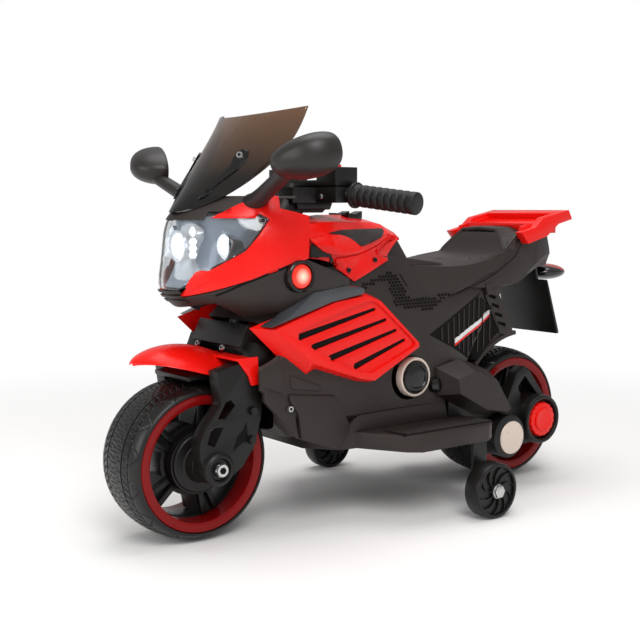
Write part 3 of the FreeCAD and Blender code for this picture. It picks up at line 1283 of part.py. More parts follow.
# Training wheels: ribbed plastic wheels that turn on bolts held by steel brackets under the footboards
bracket_out = "trainer_y - trainer_width / 2 - trainer_head - wall"
bracket_in = f"{bracket_out} - bracket_thickness"
bracket_sides = ("trainer_x - bracket_width / 2", "trainer_x + bracket_width / 2")
strap_top = "pan_low_z - panel_gap"
strap_low = f"{strap_top} - bracket_thickness"
strap = block("bracket_strap", (bracket_sides[0], "bracket_inner_y", strap_low),
              (bracket_sides[1], bracket_out, strap_top))
drop = block("bracket_drop", (bracket_sides[0], bracket_in, "bracket_foot_z"),
             (bracket_sides[1], bracket_out, strap_top))
bolt_hole = bar("bracket_hole", "trainer_bolt_radius + seat_gap", f"{bracket_in} - overrun",
                f"{bracket_out} + overrun", "trainer_x", "trainer_radius")
bracket = cut("bracket_bored", fuse("bracket_bent", strap, drop), bolt_hole)
node(pair("bracket_pair", bracket), "stabiliser_brackets")
wheel_out = "trainer_y + trainer_width / 2"
bolt = fuse("trainer_bolt",
            bar("trainer_rod", "trainer_bolt_radius", f"{bracket_in} - overrun", f"{wheel_out} + trainer_head",
                "trainer_x", "trainer_radius"),
            hexagon("trainer_shoulder", "trainer_shoulder_radius", f"{bracket_out} + seat_gap",
                    f"{bracket_out} + trainer_head", "trainer_x", "trainer_radius"),
            hexagon("trainer_bolt_head", "trainer_head_radius", f"{wheel_out} + panel_gap",
                    f"{wheel_out} + trainer_head", "trainer_x", "trainer_radius"))
node(pair("bolt_pair", bolt), "stabiliser_bolts")
half_trainer = size.trainer_width / 2
trainer_inner = size.trainer_radius - size.trainer_rim_wall
trainer = revolved_body("trainer_left", symmetric([
    (half_trainer, size.trainer_bolt_radius + size.run_gap),
    (half_trainer, size.trainer_hub_radius),
    (size.trainer_web_width / 2, size.trainer_hub_radius),
    (size.trainer_web_width / 2, trainer_inner),
    (half_trainer, trainer_inner),
    (half_trainer, size.trainer_radius - size.wall),
    (half_trainer - size.wall, size.trainer_radius),
]))
bind(trainer, at_x="trainer_x", at_y="trainer_y", at_z="trainer_radius")
node(trainer, "stabiliser_wheel_left")
node(mirrored("trainer_twin", trainer), "stabiliser_wheel_right")

# Tail wing: a red grab rail that wraps the end of the seat
WING_SHARES = ((1.0, 0.34), (0.86, 0.0), (0.49, 0.22), (0.27, 0.58), (0.0, 0.72), (0.07, 1.0),
               (0.58, 0.76), (0.73, 0.48))
WING_BAR_SHARES = ((0.0, 0.72), (0.07, 1.0), (0.3, 0.9), (0.25, 0.62))
WING_SADDLE_SHARES = ((0.2, 0.6), (0.75, 0.6), (0.75, 0.3), (0.2, 0.3))
wing_box = (size.wing_back_x, size.wing_front_x, size.wing_low_z, size.wing_high_z)
wing_inner_y = size.wing_half_width - size.wing_arm
wing_arm = plate(outline(*wing_box, WING_SHARES), wing_inner_y, size.wing_half_width)
wing_bar = plate(outline(*wing_box, WING_BAR_SHARES), -wing_inner_y, wing_inner_y)
wing_saddle = plate(outline(*wing_box, WING_SADDLE_SHARES), -wing_inner_y, wing_inner_y)
wing = wing_arm.fuse([wing_arm.mirror(Vector(), Y_AXIS), wing_bar, wing_saddle.cut([seat_room, tail_room])])
wing = wing.cut([seat_room, tail_room])
node(formed("wing_rail", max(wing.Solids, key=lambda part: part.Volume)), "tail_wing")

# Plate flap and tail lamp under the end of the tail
flap_points = ((size.flap_top_x, size.flap_top_z), (size.flap_low_x, size.flap_low_z),
               (size.flap_low_x - size.flap_thickness, size.flap_low_z),
               (size.flap_top_x - size.flap_thickness, size.flap_top_z))
flap = plate(flap_points, -size.flap_half_width, size.flap_half_width).cut(tail_room)
node(formed("flap_plate", min(flap.Solids, key=lambda part: part.CenterOfMass.z)), "plate_flap")
lamp_ball = spheroid(size.tail_lamp_half_height, size.tail_lamp_radius)
lamp_ball.rotate(Vector(), Y_AXIS, QUARTER_TURN)
lamp_ball.translate(Vector(size.tail_lamp_x, 0, size.tail_lamp_z))
behind_flap = plate(((0, size.flap_top_z), (0, size.flap_low_z),
                     (size.flap_low_x - size.flap_thickness - size.panel_gap, size.flap_low_z),
                     (size.flap_top_x - size.flap_thickness - size.panel_gap, size.flap_top_z)),
                    -size.flap_half_width, size.flap_half_width)
node(formed("tail_lamp_body", lamp_ball.cut([behind_flap, tail_room])), "tail_lamp")

# Rear hugger: a curved guard over the tyre, hung from the tail by slotted struts and closed in front by a panel
STRUT_SHARES = ((0.99, 1.0), (0.595, 1.0), (0.03, -0.08), (0.44, 0.0))
STRUT_HEAD_SHARES = ((0.99, 1.0), (0.595, 1.0), (0.53, 0.78), (0.93, 0.78))
STRUT_SLOT_SHARES = ((0.24, 0.1), (0.46, 0.1), (0.8, 0.82), (0.62, 0.82))
RIB_PANEL_SHARES = ((1.06, -0.34), (0.68, -0.2), (0.4, -0.06), (0.93, 0.95), (1.12, 0.9))


def hugger_arc(radius, start, end):
    """An arc of the guard, seen from the side, on its right edge."""
    places = []
    for angle in (start, (start + end) / 2, end):
        turn = math.radians(angle)
        places.append(axle_centre + Vector(radius * math.cos(turn), -size.hugger_half_width,
                                           radius * math.sin(turn)))
    return Part.Arc(*places).toShape()


outer_arc = hugger_arc(size.hugger_radius, size.hugger_from_angle, size.hugger_to_angle)
inner_arc = hugger_arc(size.hugger_radius - size.hugger_wall, size.hugger_from_angle, size.hugger_to_angle)
arc_ends = [Part.makeLine(outer_arc.valueAt(limit), inner_arc.valueAt(inner_limit))
            for limit, inner_limit in zip(outer_arc.ParameterRange, inner_arc.ParameterRange)]
guard_ring = Part.Wire(Part.__sortEdges__([outer_arc, inner_arc] + arc_ends))
guard = Part.Face(guard_ring).extrude(Vector(0, 2 * size.hugger_half_width, 0))
strut_box = (size.strut_back_x, size.strut_front_x, size.strut_low_z, size.strut_high_z)
strut_inner_y = size.hugger_half_width - size.strut_wall
strut = plate(outline(*strut_box, STRUT_SHARES), strut_inner_y, size.hugger_half_width)
slot_low, slot_low_end, slot_high_end, slot_high = outline(*strut_box, STRUT_SLOT_SHARES)
for number in range(int(size.strut_slots)):
    step = (number + share_of_middle) / size.strut_slots
    back_x, mid_z = (between(low, high, step) for low, high in zip(slot_low, slot_high))
    front_x = between(slot_low_end[0], slot_high_end[0], step)
    half = size.strut_slot_height / 2
    slot_points = [(back_x, mid_z - 2 * half), (back_x, mid_z), (front_x, mid_z + 2 * half), (front_x, mid_z)]
    strut = strut.cut(plate(slot_points, 0, 2 * size.hugger_half_width))
tyre_room = pin(size.hugger_radius - size.hugger_wall, axle_centre, -2 * size.hugger_half_width,
                2 * size.hugger_half_width)
strut_head = plate(outline(*strut_box, STRUT_HEAD_SHARES), strut_inner_y, size.tail_half_width)
rib_panel = plate(outline(*strut_box, RIB_PANEL_SHARES), strut_inner_y - size.wall,
                  strut_inner_y + size.strut_wall / 2)
strut = strut.fuse([strut_head, rib_panel])
struts = [strut, strut.mirror(Vector(), Y_AXIS)]
hugger = guard.fuse(struts).cut([tail_room, seat_room, tyre_room, body_room])
node(formed("hugger_guard", max(hugger.Solids, key=lambda part: part.Volume)), "rear_hugger")

# Battery inside the body, and the throttle pedal on the right footboard
battery_low = "body_low_z + wall + panel_gap"
battery = block("battery_case", ("battery_x - battery_length / 2", "-battery_width / 2", battery_low),
                ("battery_x + battery_length / 2", "battery_width / 2", f"{battery_low} + battery_height"))
node(battery, "battery")
hinge_place = Vector(size.pedal_back_x, 0, pan_top_z + size.panel_gap + size.pedal_thickness)
pedal_low_y = -size.pedal_inner_y - size.pedal_width
tread = Part.makeBox(size.pedal_length, size.pedal_width, size.pedal_thickness,
                     Vector(0, pedal_low_y, -size.pedal_thickness / 2))
tread.Placement = Placement(hinge_place, Rotation(Y_AXIS, -size.pedal_tilt)).multiply(tread.Placement)
barrel = pin(size.pedal_thickness, hinge_place, pedal_low_y, -size.pedal_inner_y)
node(formed("pedal_tread", tread.fuse(barrel).removeSplitter()), "throttle_pedal")

# Check every object, then write one file for each node
doc.recompute()
for piece in doc.Objects:
    if "Invalid" in piece.State or "Error" in piece.State:
        raise RuntimeError(f"{piece.Name} did not recompute")
for piece in nodes:
    if piece.Shape.isNull() or not piece.Shape.isValid():
        raise RuntimeError(f"{piece.Label} has no valid shape")
os.makedirs("parts", exist_ok=True)
for piece in nodes:
    piece.Shape.exportStep(f"parts/{piece.Label}.step")
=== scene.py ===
import json
import math

import bmesh
import bpy
from mathutils import Matrix, Vector
from mathutils.bvhtree import BVHTree


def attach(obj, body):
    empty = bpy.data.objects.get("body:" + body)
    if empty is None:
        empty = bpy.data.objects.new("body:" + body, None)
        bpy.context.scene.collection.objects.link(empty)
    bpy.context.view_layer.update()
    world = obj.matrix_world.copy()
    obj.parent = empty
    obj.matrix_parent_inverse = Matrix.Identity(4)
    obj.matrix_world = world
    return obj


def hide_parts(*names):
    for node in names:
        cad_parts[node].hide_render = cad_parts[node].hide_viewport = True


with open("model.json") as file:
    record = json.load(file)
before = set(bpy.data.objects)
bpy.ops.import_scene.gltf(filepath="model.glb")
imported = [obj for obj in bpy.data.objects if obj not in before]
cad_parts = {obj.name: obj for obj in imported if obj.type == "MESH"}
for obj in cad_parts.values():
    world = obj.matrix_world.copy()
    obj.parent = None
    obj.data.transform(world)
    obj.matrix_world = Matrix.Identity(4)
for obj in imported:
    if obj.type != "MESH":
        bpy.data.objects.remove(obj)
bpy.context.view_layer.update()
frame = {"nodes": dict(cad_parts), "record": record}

# Road wheels: hollow black tyres, blow-moulded in polyethylene and pressed over spoked rims of black ABS. A
# dark red ring is snapped into each side of the rim. The tyre's mould leaves a notched tread round its
# middle and shallow chevrons on its shoulders.
front_axle_x, rear_axle_x, axle_height = 301, -252, 100
road_wheels = (("front", front_axle_x), ("rear", rear_axle_x))


def linear(colour):
    """An sRGB hex colour as linear red, green, blue and alpha."""
    parts = [int(colour[place:place + 2], 16) / 255 for place in (1, 3, 5)]
    return [part / 12.92 if part <= 0.04045 else ((part + 0.055) / 1.055) ** 2.4 for part in parts] + [1.0]


def add_node(tree, kind, inputs=None, **settings):
    """A node with its settings, its values and the links into it."""
    node = tree.nodes.new(kind)
    for name, value in settings.items():
        setattr(node, name, value)
    for name, value in (inputs or {}).items():
        if isinstance(value, bpy.types.NodeSocket):
            tree.links.new(value, node.inputs[name])
        else:
            node.inputs[name].default_value = value
    return node


def moulded(name, colour, shade, roughness, swing, grain_mm, depth_mm, **shader):
    """A moulded surface: its colour drifts from colour to shade, and its grain gives bump and roughness."""
    drift_mm, plastic_ior = 90, 1.53
    material = bpy.data.materials.new(name)
    material.use_nodes = True
    tree = material.node_tree
    tree.nodes.clear()
    place = add_node(tree, "ShaderNodeTexCoord").outputs["Object"]
    drift = add_node(tree, "ShaderNodeTexNoise", {"Vector": place, "Scale": 1000 / drift_mm, "Detail": 3.0})
    grain = add_node(tree, "ShaderNodeTexNoise", {"Vector": place, "Scale": 1000 / grain_mm, "Detail": 2.0})
    tint = add_node(tree, "ShaderNodeMix", {0: drift.outputs["Fac"], 6: linear(colour), 7: linear(shade)},
                    data_type="RGBA")
    gloss = add_node(tree, "ShaderNodeMapRange", {
        "Value": grain.outputs["Fac"], "From Min": 0.3, "From Max": 0.7, "To Min": roughness - swing,
        "To Max": roughness + swing})
    bump = add_node(tree, "ShaderNodeBump", {"Height": grain.outputs["Fac"], "Distance": depth_mm / 1000,
                                             "Strength": 1.0})
    surface = add_node(tree, "ShaderNodeBsdfPrincipled", {"Base Color": tint.outputs[2],
                                                          "Roughness": gloss.outputs["Result"],
                                                          "Normal": bump.outputs["Normal"]})
    if shader.get("Metallic", 0) < 1:
        surface.inputs["IOR"].default_value = plastic_ior
    for socket, value in shader.items():
        surface.inputs[socket.replace("_", " ")].default_value = value
    add_node(tree, "ShaderNodeOutputMaterial", {"Surface": surface.outputs["BSDF"]})
    return material


body_of = {node: body for body, nodes in frame["record"]["behaviour"]["bodies"].items() for node in nodes}


def new_piece(name, mesh, material):
    """A piece at the origin with its place in its mesh."""
    piece = bpy.data.objects.new(name, mesh)
    bpy.context.scene.collection.objects.link(piece)
    mesh.materials.clear()
    mesh.materials.append(material)
    return piece


def applied(piece):
    """The piece with its modifiers turned into plain mesh."""
    graph = bpy.context.evaluated_depsgraph_get()
    mesh = bpy.data.meshes.new_from_object(piece.evaluated_get(graph), depsgraph=graph)
    piece.modifiers.clear()
    piece.data = mesh
    return piece


def smoothed(piece, degrees=32):
    """Round faces shade smooth, and edges sharper than the angle stay crisp."""
    for face in piece.data.polygons:
        face.use_smooth = True
    piece.data.set_sharp_from_angle(angle=math.radians(degrees))
    return piece


def eased(piece, width_mm, degrees=32, segments=2):
    """The piece with its sharp edges rounded over."""
    bevel = piece.modifiers.new("eased", "BEVEL")
    bevel.width = width_mm / 1000
    bevel.segments = segments
    bevel.limit_method = "ANGLE"
    bevel.angle_limit = math.radians(degrees)
    return smoothed(applied(piece), degrees)


def belongs(piece, node):
    """A piece of its own that moves with a node's body."""
    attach(piece, body_of[node])
    return piece


def stands_for(piece, *nodes):
    """A piece that is shown in place of the nodes."""
    belongs(piece, nodes[0])
    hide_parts(*nodes)
    return piece


def moulding(node, material, bevel_mm=0.8, degrees=32):
    """A copy of a solid with its edges eased, as they leave the mould."""
    weld, flat_degrees = 0.00002, 1.5
    mesh = frame["nodes"][node].data.copy()
    build = bmesh.new()
    build.from_mesh(mesh)
    bmesh.ops.remove_doubles(build, verts=build.verts, dist=weld)
    bmesh.ops.dissolve_limit(build, angle_limit=math.radians(flat_degrees), verts=build.verts,
                             edges=build.edges)
    build.to_mesh(mesh)
    build.free()
    piece = new_piece(node + "_moulding", mesh, material)
    return stands_for(eased(piece, bevel_mm, degrees), node)


def metres(values_mm):
    """A point or a size in millimetres, in Blender's metres."""
    return [value / 1000 for value in values_mm]


def from_faces(name, points_mm, faces, material):
    """A mesh from points in millimetres, with its doubles merged and its faces turned outwards."""
    weld = 0.000005
    mesh = bpy.data.meshes.new(name)
    mesh.from_pydata([metres(point) for point in points_mm], [], faces)
    build = bmesh.new()
    build.from_mesh(mesh)
    bmesh.ops.remove_doubles(build, verts=build.verts, dist=weld)
    bmesh.ops.recalc_face_normals(build, faces=build.faces)
    build.to_mesh(mesh)
    build.free()
    return new_piece(name, mesh, material)


def strip_faces(rings, around, closed_rings=False, capped=False):
    """Quads that join rings of points, each of the same count, and a face over each end if capped."""
    faces = []
    for ring in range(rings if closed_rings else rings - 1):
        for step in range(around):
            after = (step + 1) % around
            above = (ring + 1) % rings
            faces.append((ring * around + step, ring * around + after, above * around + after,
                          above * around + step))
    if capped:
        faces += [tuple(range(around)), tuple(range((rings - 1) * around, rings * around))]
    return faces


def turned(name, profile, centre, material, around=96, closed_profile=False, side=1):
    """A ring or disc turned about an axle across the bike, from (across, radius) points in millimetres."""
    x, y, z = centre
    if not closed_profile:
        profile = [(profile[0][0], 0), *profile, (profile[-1][0], 0)]
    points = []
    for across, radius in profile:
        for step in range(around):
            turn = 2 * math.pi * step / around
            points.append((x + radius * math.cos(turn), y + side * across, z + radius * math.sin(turn)))
    return smoothed(from_faces(name, points, strip_faces(len(profile), around, closed_profile), material))


def joined(name, pieces, material):
    """Several pieces as one."""
    build = bmesh.new()
    for piece in pieces:
        build.from_mesh(piece.data)
        bpy.data.objects.remove(piece)
    mesh = bpy.data.meshes.new(name)
    build.to_mesh(mesh)
    build.free()
    return new_piece(name, mesh, material)


# Tyre plastic: near black with a soft sheen on the shoulders; rims: blacker and duller, so that the spokes
# read as shapes; rings: deep wine red and smooth, so that the rim lights run round them
tyre_black = moulded("tyre_polyethylene", "#100f0e", "#161413", roughness=0.36, swing=0.05, grain_mm=1.4,
                     depth_mm=0.02, Specular_IOR_Level=0.35)
rim_black = moulded("satin_black_abs", "#0e0d0c", "#141211", roughness=0.4, swing=0.06, grain_mm=0.9,
                    depth_mm=0.02, Specular_IOR_Level=0.3)
ring_red = moulded("dark_red_abs", "#76090b", "#840b0d", roughness=0.24, swing=0.02, grain_mm=14.0,
                   depth_mm=0.004, Specular_IOR_Level=0.18)
# Half of the tyre from its bead to its middle, with close rows on the shoulder for the chevrons
tyre_profile = (
    (47, 87.2), (47, 88.4), (46.4, 89.9), (45.7, 90.8), (44.8, 91.6), (43.8, 92.4), (42.6, 93.1),
    (41.4, 93.7), (40.2, 94.3), (39, 94.8), (37.6, 95.3), (36.4, 95.7), (35, 96.1), (33.8, 96.4),
    (32.6, 96.6), (31.6, 96.7), (31.2, 95.6), (30.2, 95.6), (29.8, 97.2), (27, 97.9), (24, 98.4),
    (21, 98.8), (19.4, 99), (19, 97.6), (17, 97.6), (16.6, 99.2), (13, 99.5), (9, 99.8), (4.5, 99.95),
    (0, 100))
shoulder_start, shoulder_end = 33, 45.4
chevrons, chevron_depth, chevron_share = 7, 1.1, 0.028
notch_depth = 1.4
notch_bands = (  # from, to, notches in half a turn, slant and share
    (20, 31, 33, 0.06, 0.26), (-1, 16, 24, 0.09, 0.2))


def cut_depth(across, turn):
    """How deep the mould cuts the tread at a place on the tyre, in millimetres."""
    wide = abs(across)
    if wide > shoulder_start:
        spread = 0.27 * ((shoulder_end - wide) / 12) ** 0.7 if wide < shoulder_end else 1
        aside = abs(abs((turn * chevrons / math.pi) % 1 - 0.5) - spread)
        return chevron_depth if aside < chevron_share else 0
    for start, end, notches, slant, share in notch_bands:
        if start < wide < end:
            return notch_depth if (turn * notches / math.pi + wide * slant) % 1 < share else 0
    return 0


liner_profile = ((27.2, 79.2), (27.2, 86.8), (45, 86.8), (46.4, 85.6), (46.8, 82), (46.4, 77), (45.4, 74.4),
                 (19, 73.4), (19, 74.7), (45.2, 74.9), (45.2, 79.2))
tyre_steps = 720
for place, axle_x in road_wheels:
    points = []
    rows = list(tyre_profile) + [(-across, radius) for across, radius in tyre_profile[-2::-1]]
    for across, radius in rows:
        for step in range(tyre_steps):
            turn = 2 * math.pi * step / tyre_steps
            reach = radius - cut_depth(across, turn)
            points.append((axle_x + reach * math.cos(turn), across, axle_height + reach * math.sin(turn)))
    tread = from_faces(f"{place}_tyre_tread", points, strip_faces(len(rows), tyre_steps, True), tyre_black)
    stands_for(smoothed(tread, 40), f"{place}_tyre")
    moulding(f"{place}_rim", rim_black, 1.2)
    liners = [turned("liner", liner_profile, (axle_x, 0, axle_height), ring_red, 96, True, side)
              for side in (-1, 1)]
    stands_for(joined(f"{place}_rim_liners", liners, ring_red), f"{place}_rim_rings")

# Spokes and hubs: five pairs of leaning bars stand on each face of a rim, round a stepped hub drum. They are
# of one moulding with the rim. On the right of the rear wheel the drive gear takes the hub's place.


def shape_tree(name, **sockets):
    """A tree of geometry nodes with its named inputs, and the outputs of its input node."""
    tree = bpy.data.node_groups.new(name, "GeometryNodeTree")
    for socket, kind in {**sockets, "Finish": "Material"}.items():
        tree.interface.new_socket(socket, in_out="INPUT", socket_type=f"NodeSocket{kind}")
    tree.interface.new_socket("Geometry", in_out="OUTPUT", socket_type="NodeSocketGeometry")
    return tree, add_node(tree, "NodeGroupInput").outputs


def end_tree(tree, copies, finish):
    """The tree with its copies made plain mesh, in their finish, as its result."""
    solid = add_node(tree, "GeometryNodeRealizeInstances", {"Geometry": copies})
    painted = add_node(tree, "GeometryNodeSetMaterial", {"Geometry": solid.outputs["Geometry"],
                                                         "Material": finish})
    add_node(tree, "NodeGroupOutput", {"Geometry": painted.outputs["Geometry"]})
    return tree


def block_ring_tree():
    """Blocks in a ring about an axle across the bike: each block points away from the axle."""
    tree, given = shape_tree("block_ring", Count="Int", Radius="Float", Block="Vector", Turn="Float",
                             Centre="Vector")
    ring = add_node(tree, "GeometryNodeMeshCircle", {"Vertices": given["Count"], "Radius": given["Radius"]})
    block = add_node(tree, "GeometryNodeMeshCube", {"Size": given["Block"]})
    outwards = add_node(tree, "FunctionNodeAlignRotationToVector",
                        {"Vector": add_node(tree, "GeometryNodeInputPosition").outputs["Position"]}, axis="X")
    blocks = add_node(tree, "GeometryNodeInstanceOnPoints", {
        "Points": ring.outputs["Mesh"], "Instance": block.outputs["Mesh"],
        "Rotation": outwards.outputs["Rotation"]})
    spun = add_node(tree, "ShaderNodeCombineXYZ", {"Z": given["Turn"]})
    flat = add_node(tree, "GeometryNodeTransform", {"Geometry": blocks.outputs["Instances"],
                                                    "Rotation": spun.outputs["Vector"]})
    stood = add_node(tree, "GeometryNodeTransform", {"Geometry": flat.outputs["Geometry"],
                                                     "Rotation": (math.pi / 2, 0, 0),
                                                     "Translation": given["Centre"]})
    return end_tree(tree, stood.outputs["Geometry"], given["Finish"])


def grown(name, tree, material, mesh=None, **inputs):
    """The plain mesh that a tree of geometry nodes makes from its named inputs and a mesh of points."""
    piece = new_piece(name, mesh or bpy.data.meshes.new(name), material)
    maker = piece.modifiers.new("maker", "NODES")
    maker.node_group = tree
    for socket in tree.interface.items_tree:
        if socket.in_out == "INPUT" and socket.name in inputs:
            maker[socket.identifier] = inputs[socket.name]
        elif socket.in_out == "INPUT" and socket.name == "Finish":
            maker[socket.identifier] = material
    return applied(piece)


block_rings = block_ring_tree()
spoke_pairs, spoke_turn, bar_lean = 5, math.radians(36), math.radians(7.5)
bar_radius, bar_across = 56.5, 20
bar_block = (31, 7.5, 9)  # outwards, round the wheel and across
hub_drum = [(34.8, 38), (38, 37.5), (39.5, 35.5), (39.5, 25), (41, 23.5), (55, 21.5), (56.6, 20), (56.6, 8.3),
            (34.8, 8.3)]
for place, axle_x in road_wheels:
    for side in (-1, 1):
        for lean in (-bar_lean, bar_lean):
            bars = grown(f"{place}_spoke_bars_{side}_{lean > 0}", block_rings, rim_black, Count=spoke_pairs,
                         Radius=bar_radius / 1000, Block=metres(bar_block), Turn=spoke_turn + lean,
                         Centre=metres((axle_x, side * bar_across, axle_height)))
            belongs(eased(bars, 1.5), f"{place}_rim")
        if place == "rear" and side < 0:
            continue
        hub = turned(f"{place}_hub_{side}", hub_drum, (axle_x, 0, axle_height), rim_black, 72, True, side)
        belongs(eased(hub, 0.8), f"{place}_rim")

# Front end that steers: two moulded fork legs on a stepped bridge block, a red fender over the tyre and an
# axle that is held by a cup washer and a cap screw on each side. The stem turns in the body.
# Zinc: bright bare metal; red: clean and glossy; grained black: warm, dull and soft in its lights; gloss
# black: dark with small crisp lights; shade black: painted shade, a dull near black put in openings, gaps
# and hollows where shade falls, so that they read as deep; blackened steel: a dark metal with a dull sheen
zinc_steel = moulded("zinc_plated_steel", "#b4b5b6", "#cdcdcc", roughness=0.3, swing=0.08, grain_mm=1.0,
                     depth_mm=0.01, Metallic=1.0)
red_abs = moulded("gloss_red_abs", "#e40f08", "#ec150c", roughness=0.27, swing=0.03, grain_mm=16.0,
                  depth_mm=0.006, Specular_IOR_Level=0.28)
black_abs = moulded("grained_black_abs", "#241d1a", "#2b2320", roughness=0.5, swing=0.07, grain_mm=0.8,
                    depth_mm=0.04, Specular_IOR_Level=0.35)
gloss_black = moulded("gloss_black_abs", "#0d0c0c", "#131211", roughness=0.2, swing=0.03, grain_mm=12.0,
                      depth_mm=0.004, Specular_IOR_Level=0.4)
painted_shade_black = moulded("painted_recess_shade", "#080706", "#0d0b0a", roughness=0.75, swing=0.05, grain_mm=0.8,
                       depth_mm=0.02, Specular_IOR_Level=0.15)
dark_steel = moulded("blackened_steel", "#1a1817", "#242120", roughness=0.38, swing=0.05, grain_mm=1.5,
                     depth_mm=0.01, Metallic=0.6)
for side in ("left", "right"):
    moulding(f"fork_leg_{side}", rim_black, 1.6)
moulding("fork_bridge", rim_black, 1.2)
moulding("front_axle", zinc_steel, 0.6)
moulding("steering_stem", dark_steel, 0.6)


def prism(name, outline, near_y, far_y, material, far_outline=None):
    """A block from an outline in side view, (x, z) in millimetres, that runs across the bike."""
    points = [(x, near_y, z) for x, z in outline] + [(x, far_y, z) for x, z in far_outline or outline]
    return from_faces(name, points, strip_faces(2, len(outline), capped=True), material)


def carved(piece, *cutters):
    """The piece with other pieces cut out of it."""
    for cutter in cutters:
        cut = piece.modifiers.new("cut", "BOOLEAN")
        cut.operation = "DIFFERENCE"
        cut.solver = "EXACT"
        cut.object = cutter
        applied(piece)
        bpy.data.objects.remove(cutter)
    return piece


fender = moulding("front_fender", red_abs, 0.6, 40)
fender_end = [(200, 180), (241, 180), (246, 275), (200, 275)]
ends = [prism("end", fender_end, side * 62, side * 100, red_abs) for side in (-1, 1)]
smoothed(carved(fender, *ends), 40)


def stud_tree():
    """Studs on points, each along the direction that its point carries, with a number of sides."""
    tree, given = shape_tree("studs", Geometry="Geometry", Sides="Int", Foot="Float", Top="Float",
                             Height="Float")
    stud = add_node(tree, "GeometryNodeMeshCone", {"Vertices": given["Sides"], "Radius Top": given["Top"],
                                                   "Radius Bottom": given["Foot"], "Depth": given["Height"]})
    facing = add_node(tree, "GeometryNodeInputNamedAttribute", {"Name": "facing"}, data_type="FLOAT_VECTOR")
    turn = add_node(tree, "FunctionNodeAlignRotationToVector", {"Vector": facing.outputs["Attribute"]},
                    axis="Z")
    copies = add_node(tree, "GeometryNodeInstanceOnPoints", {
        "Points": given["Geometry"], "Instance": stud.outputs["Mesh"], "Rotation": turn.outputs["Rotation"]})
    return end_tree(tree, copies.outputs["Instances"], given["Finish"])


stud_maker = stud_tree()


def studs(name, places, material, node, sides, foot_mm, top_mm, height_mm):
    """Studs at (point in millimetres, direction) places, as one piece on a node's body."""
    mesh = bpy.data.meshes.new(name)
    mesh.from_pydata([metres(point) for point, facing in places], [], [])
    facings = mesh.attributes.new("facing", "FLOAT_VECTOR", "POINT")
    for place, (point, facing) in enumerate(places):
        facings.data[place].vector = facing
    piece = grown(name, stud_maker, material, mesh, Sides=sides, Foot=foot_mm / 1000, Top=top_mm / 1000,
                  Height=height_mm / 1000)
    return belongs(smoothed(piece), node)


def cap_screws(name, places, radius_mm, material, node):
    """Cap screws with a hexagon socket."""
    head_top, head_height, socket_width, socket_height, socket_lift = [
        radius_mm * share for share in (0.86, 0.7, 0.5, 0.1, 0.68)]
    studs(name, places, material, node, 20, radius_mm, head_top, head_height)
    # The socket is a thin dark hexagon on the head: painted shade for its hole
    sockets = [(Vector(point) + Vector(facing).normalized() * socket_lift, facing)
               for point, facing in places]
    studs(name + "_sockets", sockets, painted_shade_black, node, 6, socket_width, socket_width, socket_height)


def sided(name, side):
    """A name with the side that it is on: the left at 1 and the right at -1."""
    return f"{name}_{'left' if side > 0 else 'right'}"


axle_cup = [(79.5, 20), (84, 20), (86, 18.6), (87, 16.5), (86.6, 14.6), (84.4, 13.2), (83.3, 12.6),
            (79.5, 12.6)]
boss_places = ((250, 166), (252, 130))
# Behind the slots of each leg is a thin dark sheet of painted shade
leg_slot_shade = [(259, 154), (257, 132), (279, 119), (272, 137), (264, 143)]  # behind the slots of the leg
for side in (-1, 1):
    leg, outwards = sided("fork_leg", side), (0, side, 0)
    cup = turned(f"axle_cup_{side}", axle_cup, (front_axle_x, 0, axle_height), rim_black, 64, True, side)
    belongs(cup, leg)
    bosses = [((x, side * 80, z), outwards) for x, z in boss_places]
    studs(f"leg_bosses_{side}", bosses, rim_black, leg, sides=24, foot_mm=5.4, top_mm=4.8, height_mm=4)
    screw_place = (front_axle_x, side * 85.4, axle_height)
    cap_screws(f"axle_screw_{side}", [(screw_place, outwards)], 8.8, zinc_steel, "front_axle")
    pocket = prism(f"leg_slot_shade_{side}", leg_slot_shade, side * 78.6, side * 79.4, painted_shade_black)
    belongs(eased(pocket, 0.3), leg)
bridge_screws = [((262, side * 30, 240), (0.9, 0, 0.44)) for side in (-1, 1)]
cap_screws("bridge_screws", bridge_screws, 4, zinc_steel, "fork_bridge")

# Splash guard: a black band under the fender that follows the tyre between the legs. It is moulded in the
# same plastic as the legs and clipped to the fender.
guard_outer, guard_inner, guard_half_width = 111, 105, 42
guard_turns = [math.radians(80 + 40 * step / 18) for step in range(19)]
guard_arcs = [[(front_axle_x + radius * math.cos(turn), axle_height + radius * math.sin(turn))
               for turn in guard_turns] for radius in (guard_outer, guard_inner)]
guard = prism("splash_guard", guard_arcs[0] + guard_arcs[1][::-1], -guard_half_width, guard_half_width,
              rim_black)
belongs(eased(guard, 1.0), "front_fender")

